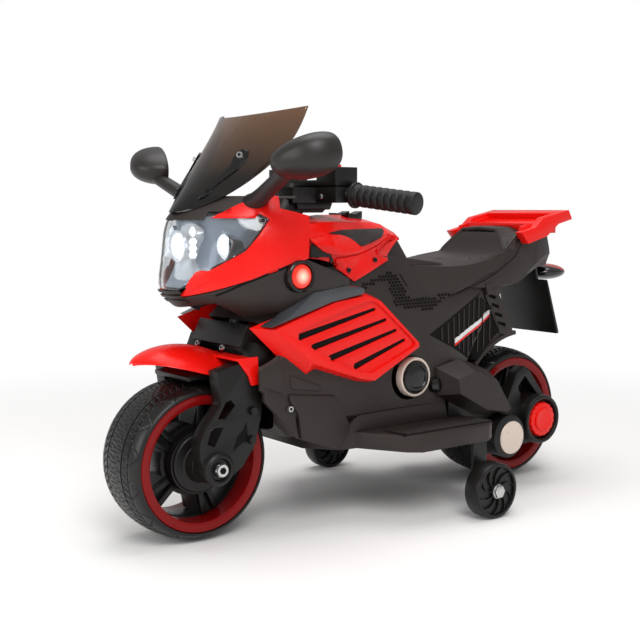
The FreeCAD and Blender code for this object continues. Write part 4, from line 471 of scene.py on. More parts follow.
# Handlebar: a black bar moulding on the stem, closed by a cover with two push buttons and screwed at its
# clamps. The soft ribbed grips have a flange at the inner end, and a tapered shroud goes round the stem.
# Grip vinyl: black and soft, with almost no highlight; silver plastic: the pale button beside the red one
grip_black = moulded("soft_grip_vinyl", "#121111", "#181716", roughness=0.5, swing=0.07, grain_mm=1.0,
                     depth_mm=0.03, Specular_IOR_Level=0.3)
moulding("handlebar", rim_black, 1.6)
moulding("handlebar_cover", rim_black, 1.6)
for side in ("left", "right"):
    moulding(f"grip_{side}", grip_black, 0.9)
button_silver = moulded("silver_abs", "#b9b9b7", "#c8c7c4", roughness=0.28, swing=0.04, grain_mm=2.0,
                        depth_mm=0.01, Metallic=0.7)
moulding("horn_button", red_abs, 1.2)
moulding("music_button", button_silver, 1.2)
bar_parts = (  # name, outline, half width, finish and bevel
    ("bar_neck", [(88, 423), (148, 423), (146, 413), (92, 413)], 32, rim_black, 2.0),
    ("bar_neck_foot", [(94, 414), (144, 414), (142, 409), (100, 409)], 25, rim_black, 1.2),
    # The clamp parting is a band of painted shade in the gap between the clamp halves
    ("clamp_parting", [(85, 441), (115, 441), (115, 445), (85, 445)], 74, painted_shade_black, 0.4))
for name, outline, half_width, finish, bevel_mm in bar_parts:
    belongs(eased(prism(name, outline, -half_width, half_width, finish), bevel_mm), "handlebar")
for side in (-1, 1):
    cap_screws(f"clamp_screw_{side}", [((118.5, side * 46, 430), (1, 0, 0))], 3.6, zinc_steel, "handlebar")

# Nose: a red fairing on each side, a black cowl under it and a clear headlight lens between them, all
# moulded to one rounded form and screwed to the body from inside. The upper rear corner of the fairing is
# cut back.
nose_levels = (  # height, middle, then two places and the back end on the left
    (264, 262, (239.5, 45), (190, 88), (120, 100)), (290, 305, (284.8, 39.6), (214.8, 92.4), (120, 104)),
    (312, 326, (309.5, 39.6), (228, 96.8), (120, 107.8)), (345, 326, (304, 46.2), (235.4, 100), (120, 107.8)),
    (380, 321, (297, 50), (235.4, 98), (120, 104)), (404, 314, (290, 48), (232, 92), (120, 98)),
    (430, 292, (268.3, 46), (218, 84), (120, 90)))


def curve_through(values, share):
    """A smooth value at a share of the way along evenly spaced values."""
    place = min(max(share, 0), 1) * (len(values) - 1)
    step = min(int(place), len(values) - 2)
    part = place - step
    before, low = values[max(step - 1, 0)], values[step]
    high, after = values[step + 1], values[min(step + 2, len(values) - 1)]
    return low + part * ((high - before) / 2 + part * (before - 2.5 * low + 2 * high - after / 2
                                                       + part * (1.5 * (low - high) + (after - before) / 2)))


def nose_place(height, across, inset=0):
    """A point on the nose in millimetres: across is -1 on the right, 0 in front and 1 on the left."""
    nudge = 0.005
    heights = [row[0] for row in nose_levels]
    step = max(index for index, level in enumerate(heights[:-1]) if level <= max(height, heights[0]))
    share = (step + (height - heights[step]) / (heights[step + 1] - heights[step])) / (len(heights) - 1)
    chain = []
    for place in range(4):
        rows = [(row[1], 0) if place == 0 else row[place + 1] for row in nose_levels]
        chain.append([curve_through([row[axis] for row in rows], share) for axis in (0, 1)])
    xs = [point[0] for point in chain[:0:-1]] + [point[0] for point in chain]
    ys = [-point[1] for point in chain[:0:-1]] + [point[1] for point in chain]
    along = (across + 1) / 2
    behind, here, ahead = [Vector((curve_through(xs, spot), curve_through(ys, spot)))
                           for spot in (along - nudge, along, along + nudge)]
    heading = (ahead - behind).normalized()
    return Vector((here.x - heading.y * inset, here.y + heading.x * inset, height))


def nose_band(name, low, high, reach, inset_back, inset_front, material, steps=40):
    """A moulded band round the nose between two heights, over the share of the nose that reach gives."""
    points = []
    for step in range(steps + 1):
        across = -reach + 2 * reach * step / steps
        points += [nose_place(low, across, inset_front), nose_place(high, across, inset_front),
                   nose_place(high, across, inset_back), nose_place(low, across, inset_back)]
    return from_faces(name, points, strip_faces(steps + 1, 4, capped=True), material)


fairing_corner = [(217, 415), (211.5, 445), (140, 445), (140, 396), (176, 404.5)]
for side in (1, -1):
    corner = prism("notch", fairing_corner, side * 40, side * 130, red_abs)
    smoothed(carved(moulding(sided("fairing", side), red_abs, 1.0), corner))
moulding("front_cowl", black_abs, 1.0)
moulding("headlight_housing", black_abs, 0.6)
# Clear polycarbonate: almost nothing but its sharp lights, so the lamps show through it
clear = moulded("clear_polycarbonate", "#eff3f6", "#f7f9fa", roughness=0.05, swing=0.01, grain_mm=9.0,
                depth_mm=0.005, Transmission_Weight=1.0)
moulding("headlight_lens", clear, 0.6)
slat_height = 3.6
for number, height in enumerate((298.5, 304.5, 310.5)):
    slat = nose_band(f"grille_slat_{number}", height, height + slat_height, 0.24, 1.5, -1.3, black_abs)
    belongs(eased(slat, 0.8), "front_cowl")
lip = nose_band("headlight_lip", 400.5, 413.6, 0.3, 1.0, -1.8, black_abs)
belongs(eased(lip, 0.8), "headlight_housing")

# Headlight: a grey reflector tub behind the lens, metallised on its inside, with three large lamps, two
# small ones and two rows of square lights. All of it is pressed into the housing.
# Metallised grey: a cool, soft shine; bright plastic: mirror-like rims round the lamps; frosted lamp: an
# even white glow
tub_grey = moulded("metallised_grey_abs", "#7d8794", "#98a3b0", roughness=0.32, swing=0.03, grain_mm=14.0,
                   depth_mm=0.01, Metallic=0.2)
tub_rows, tub_columns, tub_low, tub_high, tub_reach = 10, 36, 318, 405, 0.62
points = []
for row in range(tub_rows + 1):
    height = tub_low + (tub_high - tub_low) * row / tub_rows
    for column in range(tub_columns + 1):
        across = -tub_reach + 2 * tub_reach * column / tub_columns
        waves = 1 - 0.4 * math.cos(3 * math.pi * across / tub_reach)
        points.append(nose_place(height, across, 9 + 16 * math.sin(math.pi * row / tub_rows) * waves))
faces = []
for row in range(tub_rows):
    for column in range(tub_columns):
        low = row * (tub_columns + 1) + column
        high = low + tub_columns + 1
        faces.append((low, low + 1, high + 1, high))
tub = from_faces("headlight_tub", points, faces, tub_grey)
wall = tub.modifiers.new("wall", "SOLIDIFY")
wall.thickness = 0.0015
wall.offset = 0
belongs(smoothed(applied(tub), 50), "headlight_housing")


def turned_forward(name, profile, centre, material, around=48):
    """A round form turned about an axis along the bike, from (forward, radius) points in millimetres."""
    x, y, z = centre
    profile = [(profile[0][0], 0), *profile, (profile[-1][0], 0)]
    points = []
    for forward, radius in profile:
        for step in range(around):
            turn = 2 * math.pi * step / around
            points.append((x + forward, y + radius * math.cos(turn), z + radius * math.sin(turn)))
    return smoothed(from_faces(name, points, strip_faces(len(profile), around), material), 40)


chrome = moulded("metallised_bright_abs", "#d9dcdf", "#c9cdd2", roughness=0.1, swing=0.03, grain_mm=2.0,
                 depth_mm=0.01, Metallic=1.0)
lamp_white = moulded("frosted_lamp", "#f4f6f8", "#ffffff", roughness=0.25, swing=0.04, grain_mm=2.0,
                     depth_mm=0.02, Emission_Strength=0.6)
lamp_white.node_tree.nodes["Principled BSDF"].inputs["Emission Color"].default_value = linear("#f2f6ff")
lamps = (  # across, height, then the front of the bowl and its radius
    (-52, 369, 275, 18), (52, 369, 275, 18), (2, 368, 309, 20), (-27, 386, 301, 7), (27, 386, 301, 7))
bowl_shares = ((-22, 0), (-22, 0.7), (-4, 1), (0, 1), (0, 0.88), (-5, 0.8), (-10, 0.5), (-11, 0))
dome_shares = ((-3, 0.84), (-0.4, 0.78), (2, 0.58), (3.4, 0.32), (3.8, 0))
cups = []
for number, (y, z, x, radius) in enumerate(lamps):
    bowl = [(forward, radius * share) for forward, share in bowl_shares]
    cups.append(turned_forward(f"lamp_cup_{number}", bowl, (x, y, z), chrome))
    dome = [(forward, radius * share) for forward, share in dome_shares]
    belongs(turned_forward(f"lamp_globe_{number}", dome, (x, y, z), lamp_white), "headlight_lamps")
stands_for(smoothed(joined("lamp_cups", cups, chrome), 40), "headlight_lamps")
leds = [((301, side * 33, z), (1, 0, 0)) for side in (-1, 1) for z in (358, 366, 374)]
studs("lamp_leds", leds, lamp_white, "headlight_lamps", sides=4, foot_mm=4.6, top_mm=4.0, height_mm=7)

# Indicators: a round domed lens of orange-red acrylic on each side of the cowl, held in a glossy black bezel
# that is pressed into the cowl.
# Indicator acrylic: orange-red and glossy, and paler towards its lit middle
indicator_x, indicator_z, glow_mm = 199, 332, 11
lens_red = moulded("indicator_acrylic", "#f3381c", "#ff7a4a", roughness=0.16, swing=0.03, grain_mm=4.0,
                   depth_mm=0.02, Emission_Strength=0.35)
tree = lens_red.node_tree
place = add_node(tree, "ShaderNodeMapping", {
    "Vector": add_node(tree, "ShaderNodeTexCoord").outputs["Object"],
    "Location": metres((-indicator_x, 0, -indicator_z))}).outputs["Vector"]
flat = add_node(tree, "ShaderNodeVectorMath", {0: place, 1: (1, 0, 1)}, operation="MULTIPLY").outputs["Vector"]
distance = add_node(tree, "ShaderNodeVectorMath", {0: flat}, operation="LENGTH").outputs["Value"]
glow = add_node(tree, "ShaderNodeMapRange", {"Value": distance, "From Min": glow_mm / 1000, "From Max": 0.0})
tint = add_node(tree, "ShaderNodeMix", {0: glow.outputs["Result"], 6: linear("#ee2a16"),
                                        7: linear("#ffd8c0")}, data_type="RGBA").outputs[2]
for socket in ("Base Color", "Emission Color"):
    tree.links.new(tint, tree.nodes["Principled BSDF"].inputs[socket])
lens_dome = [(102, 15), (111, 15), (113.6, 14.2), (115.4, 11), (116.2, 6), (116.4, 0)]
bezel_ring = [(100, 15.4), (113, 15.4), (114.4, 16.2), (114.6, 18), (113.4, 19.6), (110, 20.4), (100, 20.6)]
indicator_centre = (indicator_x, 0, indicator_z)
lenses = []
for side in (-1, 1):
    lenses.append(turned("lens", lens_dome, indicator_centre, lens_red, 48, False, side))
    bezel = turned(f"indicator_bezel_{side}", bezel_ring, indicator_centre, gloss_black, 56, True, side)
    belongs(bezel, "front_cowl")
stands_for(joined("indicator_domes", lenses, lens_red), "indicator_lenses")

# Windscreen: a bent sheet of smoked acrylic over the nose, held by two slender black fins that are screwed
# through it into the cowl.


def skin_of(*nodes, pieces=()):
    """The skin of some solids and pieces, to lay other pieces on."""
    points, faces = [], []
    for mesh in [frame["nodes"][node].data for node in nodes] + [piece.data for piece in pieces]:
        start = len(points)
        points += [vertex.co.copy() for vertex in mesh.vertices]
        faces += [[start + corner for corner in face.vertices] for face in mesh.polygons]
    return BVHTree.FromPolygons(points, faces)


def on_skin(skin, along, up, side):
    """The skin's place and direction at (along, up) in millimetres, seen from a side or, at 0, the front."""
    start = Vector((along, side * 400, up)) if side else Vector((500, along, up))
    hit, facing = skin.ray_cast(start / 1000, Vector((0, -side, 0)) if side else Vector((-1, 0, 0)))[:2]
    return (hit * 1000, facing) if hit else (None, None)


def laid(name, outline, skin, side, material, proud_mm, sunk_mm=1.5, step_mm=8, bevel_mm=0.8):
    """A moulded patch on a skin, from its outline in millimetres as seen from a side or, at 0, the front."""
    weld, flat_degrees = 0.00001, 1
    build = bmesh.new()
    build.faces.new([build.verts.new((along / 1000, 0, up / 1000)) for along, up in outline])
    bmesh.ops.triangulate(build, faces=build.faces[:])
    for axis in (0, 2):
        spots = [point[axis // 2] for point in outline]
        cuts = max(int((max(spots) - min(spots)) / step_mm), 1)
        for number in range(1, cuts):
            line, normal = Vector(), Vector()
            line[axis] = (min(spots) + (max(spots) - min(spots)) * number / cuts) / 1000
            normal[axis] = 1
            bmesh.ops.bisect_plane(build, geom=build.verts[:] + build.edges[:] + build.faces[:], plane_co=line,
                                   plane_no=normal)
    bmesh.ops.remove_doubles(build, verts=build.verts, dist=weld)
    outwards = Vector((0, side, 0)) if side else Vector((1, 0, 0))
    found, lost = [], []
    for vertex in build.verts:
        flat = Vector((vertex.co.x, vertex.co.z))
        place = on_skin(skin, flat.x * 1000, flat.y * 1000, side)[0]
        if place:
            vertex.co = (place + outwards * proud_mm) / 1000
            found.append((flat, vertex.co.copy()))
        else:
            lost.append((vertex, flat))
    for vertex, flat in lost:
        near = min(found, key=lambda item: (item[0] - flat).length)[1]
        vertex.co = Vector((flat.x, near.y, flat.y)) if side else Vector((near.x, flat.x, flat.y))
    back = bmesh.ops.extrude_face_region(build, geom=build.faces[:], use_keep_orig=True)["geom"]
    bmesh.ops.translate(build, verts=[item for item in back if isinstance(item, bmesh.types.BMVert)],
                        vec=-outwards * (proud_mm + sunk_mm) / 1000)
    bmesh.ops.recalc_face_normals(build, faces=build.faces)
    bmesh.ops.dissolve_limit(build, angle_limit=math.radians(flat_degrees), verts=build.verts,
                             edges=build.edges)
    mesh = bpy.data.meshes.new(name)
    build.to_mesh(mesh)
    build.free()
    return eased(new_piece(name, mesh, material), bevel_mm, 40)


def rounded(outline, radius_mm, steps=4):
    """An outline with its corners rounded."""
    points = []
    for place, corner in enumerate(outline):
        corner = Vector(corner)
        ends = []
        for other in (outline[place - 1], outline[(place + 1) % len(outline)]):
            edge = Vector(other) - corner
            ends.append(corner + edge.normalized() * min(radius_mm, edge.length * 0.45))
        for step in range(steps + 1):
            share = step / steps
            bend = corner * 2 * share * (1 - share)
            points.append(tuple(ends[0] * (1 - share) ** 2 + bend + ends[1] * share ** 2))
    return points


# Smoked acrylic: brown and clear at its top; towards its foot it is darkened with painted shade for the black
# body seen through it
smoke_top, smoke_foot = 0.545, 0.452
smoked = moulded("smoked_acrylic", "#77573f", "#17120f", roughness=0.08, swing=0.01, grain_mm=16.0,
                 depth_mm=0.003, Transmission_Weight=0.8)
tree = smoked.node_tree
spot = add_node(tree, "ShaderNodeTexCoord").outputs["Object"]
height = add_node(tree, "ShaderNodeSeparateXYZ", {"Vector": spot}).outputs["Z"]
painted_foot_shade = add_node(tree, "ShaderNodeMapRange", {"Value": height, "From Min": smoke_top,
                                                 "From Max": smoke_foot})
tree.links.new(painted_foot_shade.outputs["Result"], tree.nodes["Mix"].inputs[0])
moulding("windscreen", smoked)
screen_skin = skin_of("windscreen")
fin_outline = [(29, 425), (33, 441), (48, 465), (46, 480), (50, 488), (57, 486), (59, 476), (56, 462),
               (44, 446), (37, 430)]
fin_screws = (("fin_screw", 53, 479, 4.6, zinc_steel), ("fin_lower_screw", 36, 437, 2.8, gloss_black))
for side in (-1, 1):
    outline = rounded([(side * y, z) for y, z in fin_outline], 4)
    belongs(laid(f"screen_fin_{side}", outline, screen_skin, 0, gloss_black, proud_mm=3.4), "front_cowl")
    for name, y, z, radius, finish in fin_screws:
        place, facing = on_skin(screen_skin, side * y, z, 0)
        screw = (place + Vector((3.6, 0, 0)), facing if facing.x > 0 else -facing)
        cap_screws(f"{name}_{side}", [screw], radius, finish, "front_cowl")

# Mirrors: a silvered sheet in a teardrop housing of matt black ABS on each side, which stands on a thick
# stalk that is screwed into the cowl beside the windscreen.


def tube(name, path, radii, material, around=24, flat=1.0):
    """A round moulding along a path in millimetres, flattened in height where flat is below 1."""
    points = []
    for place, middle in enumerate(path):
        run = Vector(path[min(place + 1, len(path) - 1)]) - Vector(path[max(place - 1, 0)])
        aside = run.cross(Vector((0, 0, 1))).normalized()
        above = aside.cross(run).normalized()
        for step in range(around):
            turn = 2 * math.pi * step / around
            outwards = aside * math.cos(turn) + above * math.sin(turn) * flat
            points.append(Vector(middle) + radii[place] * outwards)
    return smoothed(from_faces(name, points, strip_faces(len(path), around, capped=True), material), 50)


def teardrop(turn, half_length, half_height):
    """How far out and how far up a place on a mirror's edge lies: the mirror is taller at its outer end."""
    out, up = math.cos(turn), math.sin(turn)
    return (half_length * math.copysign(abs(out) ** 0.85, out),
            half_height * math.copysign(abs(up) ** 0.85, up) * (1 + 0.16 * out))


# Silvered sheet: a clean mirror; matt mirror plastic: warm black with one broad, soft light
mirror_sheet = moulded("silvered_mirror_sheet", "#d8dadb", "#e4e5e6", roughness=0.04, swing=0.01, grain_mm=9.0,
                       depth_mm=0.003, Metallic=1.0)
mirror_black = moulded("matt_mirror_abs", "#1c1817", "#231e1c", roughness=0.42, swing=0.06, grain_mm=0.9,
                       depth_mm=0.02, Specular_IOR_Level=0.4)
mirror_turns = [2 * math.pi * step / 64 for step in range(64)]
mirror_sweep, mirror_rise, mirror_lean = math.radians(20), 0.24, 0.12
shell_rings = [(-13, 0.9), (-13.6, 0.955), (-12, 0.985)]  # forward, then the share of the full size
for step in range(12):
    turn = math.pi / 2 * step / 12
    shell_rings.append((-10 + 42 * math.sin(turn), math.cos(turn) ** 0.8))
shell_rings.append((32, 0))
stalk_shares, stalk_radii = (-0.02, 0.06, 0.16, 0.34, 0.6, 0.9, 1.05), (17, 16, 13, 11.5, 11, 10.5, 9)
glasses = []
for side in (-1, 1):
    name = sided("mirror", side)
    length = Vector((-math.sin(mirror_sweep), side * math.cos(mirror_sweep), mirror_rise)).normalized()
    ahead = Vector((math.cos(mirror_sweep), side * math.sin(mirror_sweep), 0))
    ahead = (ahead - length * ahead.dot(length)).normalized()
    above = ahead.cross(length) * side
    middle = Vector((243, side * 180, 473))
    points = []
    for forward, share in shell_rings:
        for turn in mirror_turns:
            reach, rise = teardrop(turn, 45 * share, 24.5 * share)
            push = forward * (1 - mirror_lean * math.cos(turn) * share)
            points.append(middle + length * reach + above * rise + ahead * push)
    shell_faces = strip_faces(len(shell_rings), len(mirror_turns))
    shell = smoothed(from_faces(name + "_shell", points, shell_faces, mirror_black), 50)
    foot, tip = Vector((238, side * 64, 419)), middle - length * 27 - above * 9
    path = [foot + (tip - foot) * share for share in stalk_shares]
    stalk = tube(name + "_stalk", path, stalk_radii, mirror_black, 32, 0.82)
    stands_for(joined(name + "_housing", [shell, stalk], mirror_black), name)
    face = []
    for turn in mirror_turns:
        reach, rise = teardrop(turn, 40.6, 21.8)
        push = -10.8 * (1 - mirror_lean * math.cos(turn)) - 1.8
        face.append(middle + length * reach + above * rise + ahead * push)
    back = [point + ahead * 1.4 for point in face]
    glass_faces = strip_faces(2, len(mirror_turns), capped=True)
    glasses.append(from_faces("glass", face + back, glass_faces, mirror_sheet))
stands_for(smoothed(joined("mirror_faces", glasses, mirror_sheet)), "mirror_glasses")

# Edges of the fairing: points of red ABS that lap the corners of the lens, and a line of painted shade where
# the fairing meets the cowl. The points are of one moulding with the fairing.


def ribbon(path, width_mm):
    """The outline of a strip of one width along a path in side view."""
    edges = ([], [])
    for place, point in enumerate(path):
        run = Vector(path[min(place + 1, len(path) - 1)]) - Vector(path[max(place - 1, 0)])
        aside = Vector((-run.y, run.x)).normalized() * width_mm / 2
        edges[0].append(tuple(Vector(point) + aside))
        edges[1].append(tuple(Vector(point) - aside))
    return edges[0] + edges[1][::-1]


nose_skin = skin_of("headlight_lens", "fairing_left", "fairing_right", "front_cowl", "headlight_housing")
fairing_points = (  # name, outline from the front, how proud it stands and its bevel
    ("fairing_point", [(28, 309), (36, 322), (44, 338), (49, 340), (62, 338), (60, 330), (45, 318)], 1.0, 0.4),
    ("fairing_ear", [(50, 403), (58, 411), (66, 420), (74, 427), (84, 420), (84, 403)], 0.9, 0.5))
fairing_line = ribbon([(290, 309), (267, 322.5), (236, 336.5), (208, 348)], 2.6)
for side in (-1, 1):
    fairing = sided("fairing", side)
    for name, outline, proud, bevel in fairing_points:
        outline = [(side * y, z) for y, z in outline]
        point = laid(f"{name}_{side}", outline, nose_skin, 0, red_abs, proud, sunk_mm=2, step_mm=6,
                     bevel_mm=bevel)
        belongs(point, fairing)
    line = laid(f"fairing_line_{side}", fairing_line, nose_skin, side, painted_shade_black, 0.5, step_mm=6,
                bevel_mm=0.2)
    belongs(line, fairing)

# Body: two grained halves of black ABS that meet in the middle plane and are screwed together. A red vent panel
# with four slots is clipped to each side, with a gunmetal strip over it.
for side in (1, -1):
    moulding(sided("chassis", side), black_abs, 1.2)
# Gunmetal: a cool grey that mirrors the studio in one long light
gunmetal = moulded("gunmetal_abs", "#3c3d40", "#54565a", roughness=0.26, swing=0.02, grain_mm=16.0,
                   depth_mm=0.004, Metallic=0.35)
panel_base = [(260, 270), (143, 303), (92, 309), (66, 300), (-7, 236), (-8, 226), (76, 185), (100, 189),
              (160, 209), (180, 201), (207, 221)]
panel_top = [(236, 268), (143, 297), (93, 303), (69, 295), (1, 235), (1, 229), (78, 191), (100, 195),
             (150, 212), (178, 222), (204, 243)]
panel_field = [(203, 258), (196, 266), (120, 288), (84, 297), (68, 288), (7, 236), (8, 231), (84, 201),
               (108, 206), (178, 240)]
slots = (((197, 256), (76, 284)), ((174, 242), (57, 269)), ((147, 226), (39, 254)), ((106, 212), (24, 240)))
strip_foot = [(250, 271), (150, 299), (94, 307), (92, 315), (128, 320), (180, 314), (222, 282)]
strip_top = [(244, 271), (150, 298), (98, 306), (98, 313), (128, 317), (178, 311), (218, 281)]


def tapered(front, back, front_mm, back_mm):
    """The outline of a slot with rounded ends that is wider at its front end."""
    front, back = Vector(front), Vector(back)
    run = (front - back).normalized()
    aside = Vector((-run.y, run.x))
    points = []
    for middle, width, start in ((front, front_mm, 0), (back, back_mm, math.pi)):
        for step in range(7):
            turn = start + math.pi / 2 - math.pi * step / 6
            points.append(tuple(middle + (run * math.cos(turn) + aside * math.sin(turn)) * width / 2))
    return points


for side in (-1, 1):
    name = sided("side_panel", side)
    panel = prism(name + "_cover", panel_base, side * 88, side * 109, red_abs, panel_top)
    field = prism("field", rounded(panel_field, 6), side * 104.5, side * 120, red_abs)
    openings = [prism("opening", tapered(*ends, 8.8, 4.6), side * 96, side * 120, red_abs) for ends in slots]
    stands_for(eased(carved(panel, field, *openings), 1.4, 25, 3), name)
    # The floors of the slots are painted shade, near black so that the slots read as deep
    floors = [prism("floor", tapered(*ends, 8.6, 4.4), side * 96.2, side * 102.6, painted_shade_black)
              for ends in slots]
    belongs(joined(name + "_slot_shade_floors", floors, painted_shade_black), name)
    strip = prism(f"panel_strip_{side}", rounded(strip_foot, 3), side * 90, side * 111, gunmetal,
                  rounded(strip_top, 3))
    belongs(eased(strip, 1.2, 30), sided("chassis", side))

# Belly blocks: angular blocks low on the body, of one moulding with its halves and parted by a mould line.
# A zinc-plated screw between them goes into the body.
belly_blocks = (  # outline and outer face
    ([(243, 196), (212, 184), (208, 174), (196, 156), (191, 124), (243, 178)], 96),
    ([(207, 184), (133, 175), (108, 131), (128, 104), (188, 124), (193, 157), (206, 175)], 98),
    ([(218, 234), (213, 188), (246, 199)], 94.5),
    ([(205, 209), (203, 190), (156, 182), (155, 190)], 96))
for side in (-1, 1):
    half = sided("chassis", side)
    for number, (outline, outer_face) in enumerate(belly_blocks):
        block = prism(f"belly_block_{side}_{number}", outline, side * 88, side * outer_face, black_abs)
        belongs(eased(block, 2.4), half)
    cap_screws(f"belly_screw_{side}", [((206, side * 97, 166), (0, side, 0))], 4.2, zinc_steel, half)

# Honeycomb: a band of small hexagonal hollows on each half of the body, under the tank and the seat. It is
# formed by the body's mould. The hollows are drawn as low hexagon studs of painted shade on a low bed.
band = [(89, 314), (36, 329), (24, 329), (12, 320), (0, 295), (-13, 290), (-85, 297), (-94, 298), (-41, 275),
        (23, 283), (31, 305), (36, 316), (45, 319), (85, 309)]
cell_step, row_step = 6.0, 4.3


def inside(outline, x, z):
    """Whether a place in side view lies within an outline."""
    within = False
    for place, (x1, z1) in enumerate(outline):
        x0, z0 = outline[place - 1]
        if (z0 > z) != (z1 > z) and x < (x1 - x0) * (z - z0) / (z1 - z0) + x0:
            within = not within
    return within


upper_skin = skin_of("chassis_left", "chassis_right", "seat", "tank_cover", "tail_cover")
for side in (-1, 1):
    half = sided("chassis", side)
    belongs(laid(f"honeycomb_bed_{side}", band, upper_skin, side, black_abs, 0.5, bevel_mm=0.2), half)
    cells = []
    for row in range(13):
        for column in range(33):
            x, z = -98 + column * cell_step + (row % 2) * cell_step / 2, 277 + row * row_step
            place, facing = on_skin(upper_skin, x, z, side)
            if place and inside(band, x, z):
                outwards = facing if facing.y * side > 0 else -facing
                cells.append((place + Vector((0, side * 0.25, 0)), outwards))
    studs(f"honeycomb_{side}", cells, painted_shade_black, half, sides=6, foot_mm=2.0, top_mm=2.0, height_mm=1.2)

# Engine badge: a thick pale ring with a glossy domed cap in it, and a small round knob behind it. All three are
# moulded and pressed into the side of the body.
# Pale metallic plastic: a warm off-white band against the black
pale_ring = moulded("pale_metallic_abs", "#d4c3b6", "#dfd0c4", roughness=0.3, swing=0.03, grain_mm=12.0,
                    depth_mm=0.004, Metallic=0.15)
badge_centre, knob_centre = (-4, 0, 186), (-44, 0, 171)
badge_ring = [(87.4, 21), (87.4, 27), (96, 27), (97.6, 26.2), (98.2, 24.8), (97.6, 23.4), (96, 22.6)]
badge_dome = [(88, 22.3), (97, 22.3), (99.8, 21.3), (101, 18.6), (101.2, 16), (100.2, 15), (100.8, 13.6),
              (101.4, 8), (101.6, 0)]
knob_dome = [(84, 11), (94, 11), (97.6, 9.4), (99.4, 6), (100, 0)]
rings = []
for side in (-1, 1):
    rings.append(turned("ring", badge_ring, badge_centre, pale_ring, 72, True, side))
    dome = turned(f"engine_dome_{side}", badge_dome, badge_centre, gloss_black, 72, False, side)
    knob = turned(f"engine_knob_{side}", knob_dome, knob_centre, gloss_black, 40, False, side)
    for piece in (dome, knob):
        belongs(piece, sided("chassis", side))
stands_for(joined("engine_rings", rings, pale_ring), "engine_caps")

# Belly pan: a tray of black ABS that is screwed under the body, whose sides are ribbed footboards. The throttle
# pedal is hinged on the right one.
moulding("belly_pan", black_abs, 4.0, 50)
moulding("throttle_pedal", rim_black, 1.0)


def row_tree():
    """Blocks in a straight row."""
    tree, given = shape_tree("block_row", Count="Int", Start="Vector", Step="Vector", Block="Vector",
                             Turn="Vector")
    line = add_node(tree, "GeometryNodeMeshLine", {"Count": given["Count"], "Start Location": given["Start"],
                                                   "Offset": given["Step"]})
    block = add_node(tree, "GeometryNodeMeshCube", {"Size": given["Block"]})
    turn = add_node(tree, "FunctionNodeEulerToRotation", {"Euler": given["Turn"]})
    blocks = add_node(tree, "GeometryNodeInstanceOnPoints", {
        "Points": line.outputs["Mesh"], "Instance": block.outputs["Mesh"],
        "Rotation": turn.outputs["Rotation"]})
    return end_tree(tree, blocks.outputs["Instances"], given["Finish"])


row_maker = row_tree()


def block_row(name, count, start_mm, step_mm, block_mm, turn, material, node, bevel_mm=0.5):
    """A row of eased blocks on a node's body."""
    piece = grown(name, row_maker, material, Count=count, Start=metres(start_mm), Step=metres(step_mm),
                  Block=metres(block_mm), Turn=turn)
    return belongs(eased(piece, bevel_mm), node)


footboards = ((-1, -44, 7), (1, 62, 22))  # side, front end and ribs: the right one leaves room for the pedal
footwell = [(-72, 120), (122, 120), (84, 150), (-66, 150)]
rib_step = (7, 0, 0)
for side, front, ribs in footboards:
    # The bed under the ribs is painted shade, so that the gaps between the ribs read as deep
    bed = prism(f"footboard_bed_{side}", [(-100, 121), (front, 121), (front, 122.2), (-100, 122.2)],
                side * 105, side * 150, painted_shade_black)
    belongs(eased(bed, 0.3), "belly_pan")
    block_row(f"footboard_ribs_{side}", ribs, (-93, side * 127, 122.6), rib_step, (2.2, 42, 2.0),
              (0, 0, side * 0.3), black_abs, "belly_pan", 0.6)
    filler = prism(f"footwell_{side}", footwell, side * 76, side * 91, black_abs)
    belongs(eased(filler, 3.0), sided("chassis", side))
block_row("pedal_ribs", 9, (-22, -125, 141.6), rib_step, (2.6, 30, 1.4), (0, 0, 0), rim_black, "throttle_pedal")

# Tank cover: a red moulding with a dark inset and a rounded bulge on each flank, and a wing below that laps
# the body and is screwed to it. Two rocker switches are clipped into its top.
moulding("tank_cover", red_abs, 2.0, 30)
for switch in ("power_switch", "direction_switch"):
    moulding(switch, gloss_black)
horn_foot = [(-35, 62, 328), (-35, -62, 328), (72, -70, 324), (72, 70, 324)]
horn_top = [(-19, 40, 375), (-19, -40, 375), (48, -63, 366), (48, 63, 366)]
horn = from_faces("saddle_front", horn_foot + horn_top, strip_faces(2, 4, capped=True), black_abs)
belongs(eased(horn, 7.0, 20, 4), "chassis_left")
tank_skin = skin_of("tank_cover", "chassis_left", "chassis_right", pieces=(horn,))
# The dark patch at the front of each flank is painted shade, for the gap behind the fairing
fairing_gap_shade = [(172, 375), (148, 369), (136, 359), (128, 347), (120, 326), (172, 326)]
inset = [(128, 383), (101, 387), (19, 388), (21, 384), (35, 376), (62, 368.5), (80, 365), (90, 375),
         (106, 381)]
bulge = [(172, 378), (139, 381), (108, 381), (92, 375), (83, 364), (84, 358), (112, 354), (144, 358),
         (160, 368)]
wing = [(126, 350), (81, 355), (44, 364.6), (44, 341), (96, 320), (123, 339)]
tank_patches = (  # name, outline, finish, then how proud and how deep it sits, its step and its bevel
    ("tank_inset", rounded(inset, 5), black_abs, 1.5, 1.5, 7, 0.4),
    ("tank_shoulder", rounded(fairing_gap_shade, 6), rim_black, 1.4, 2, 6, 0.6),
    ("tank_bulge", rounded(bulge, 8), red_abs, 4.5, 3, 6, 3.0),
    ("tank_wing", rounded(wing, 3), red_abs, 2.8, 3, 6, 0.9))
wing_lift = 2.6
wing_tail = (  # place along the bike, top, foot, and how proud the foot stands
    (48, 363.6, 339.4, wing_lift), (36, 367.5, 345.5, 7), (22, 373, 352.5, 7), (6, 379.5, 361.5, 5),
    (-14, 386, 373, 2.8))
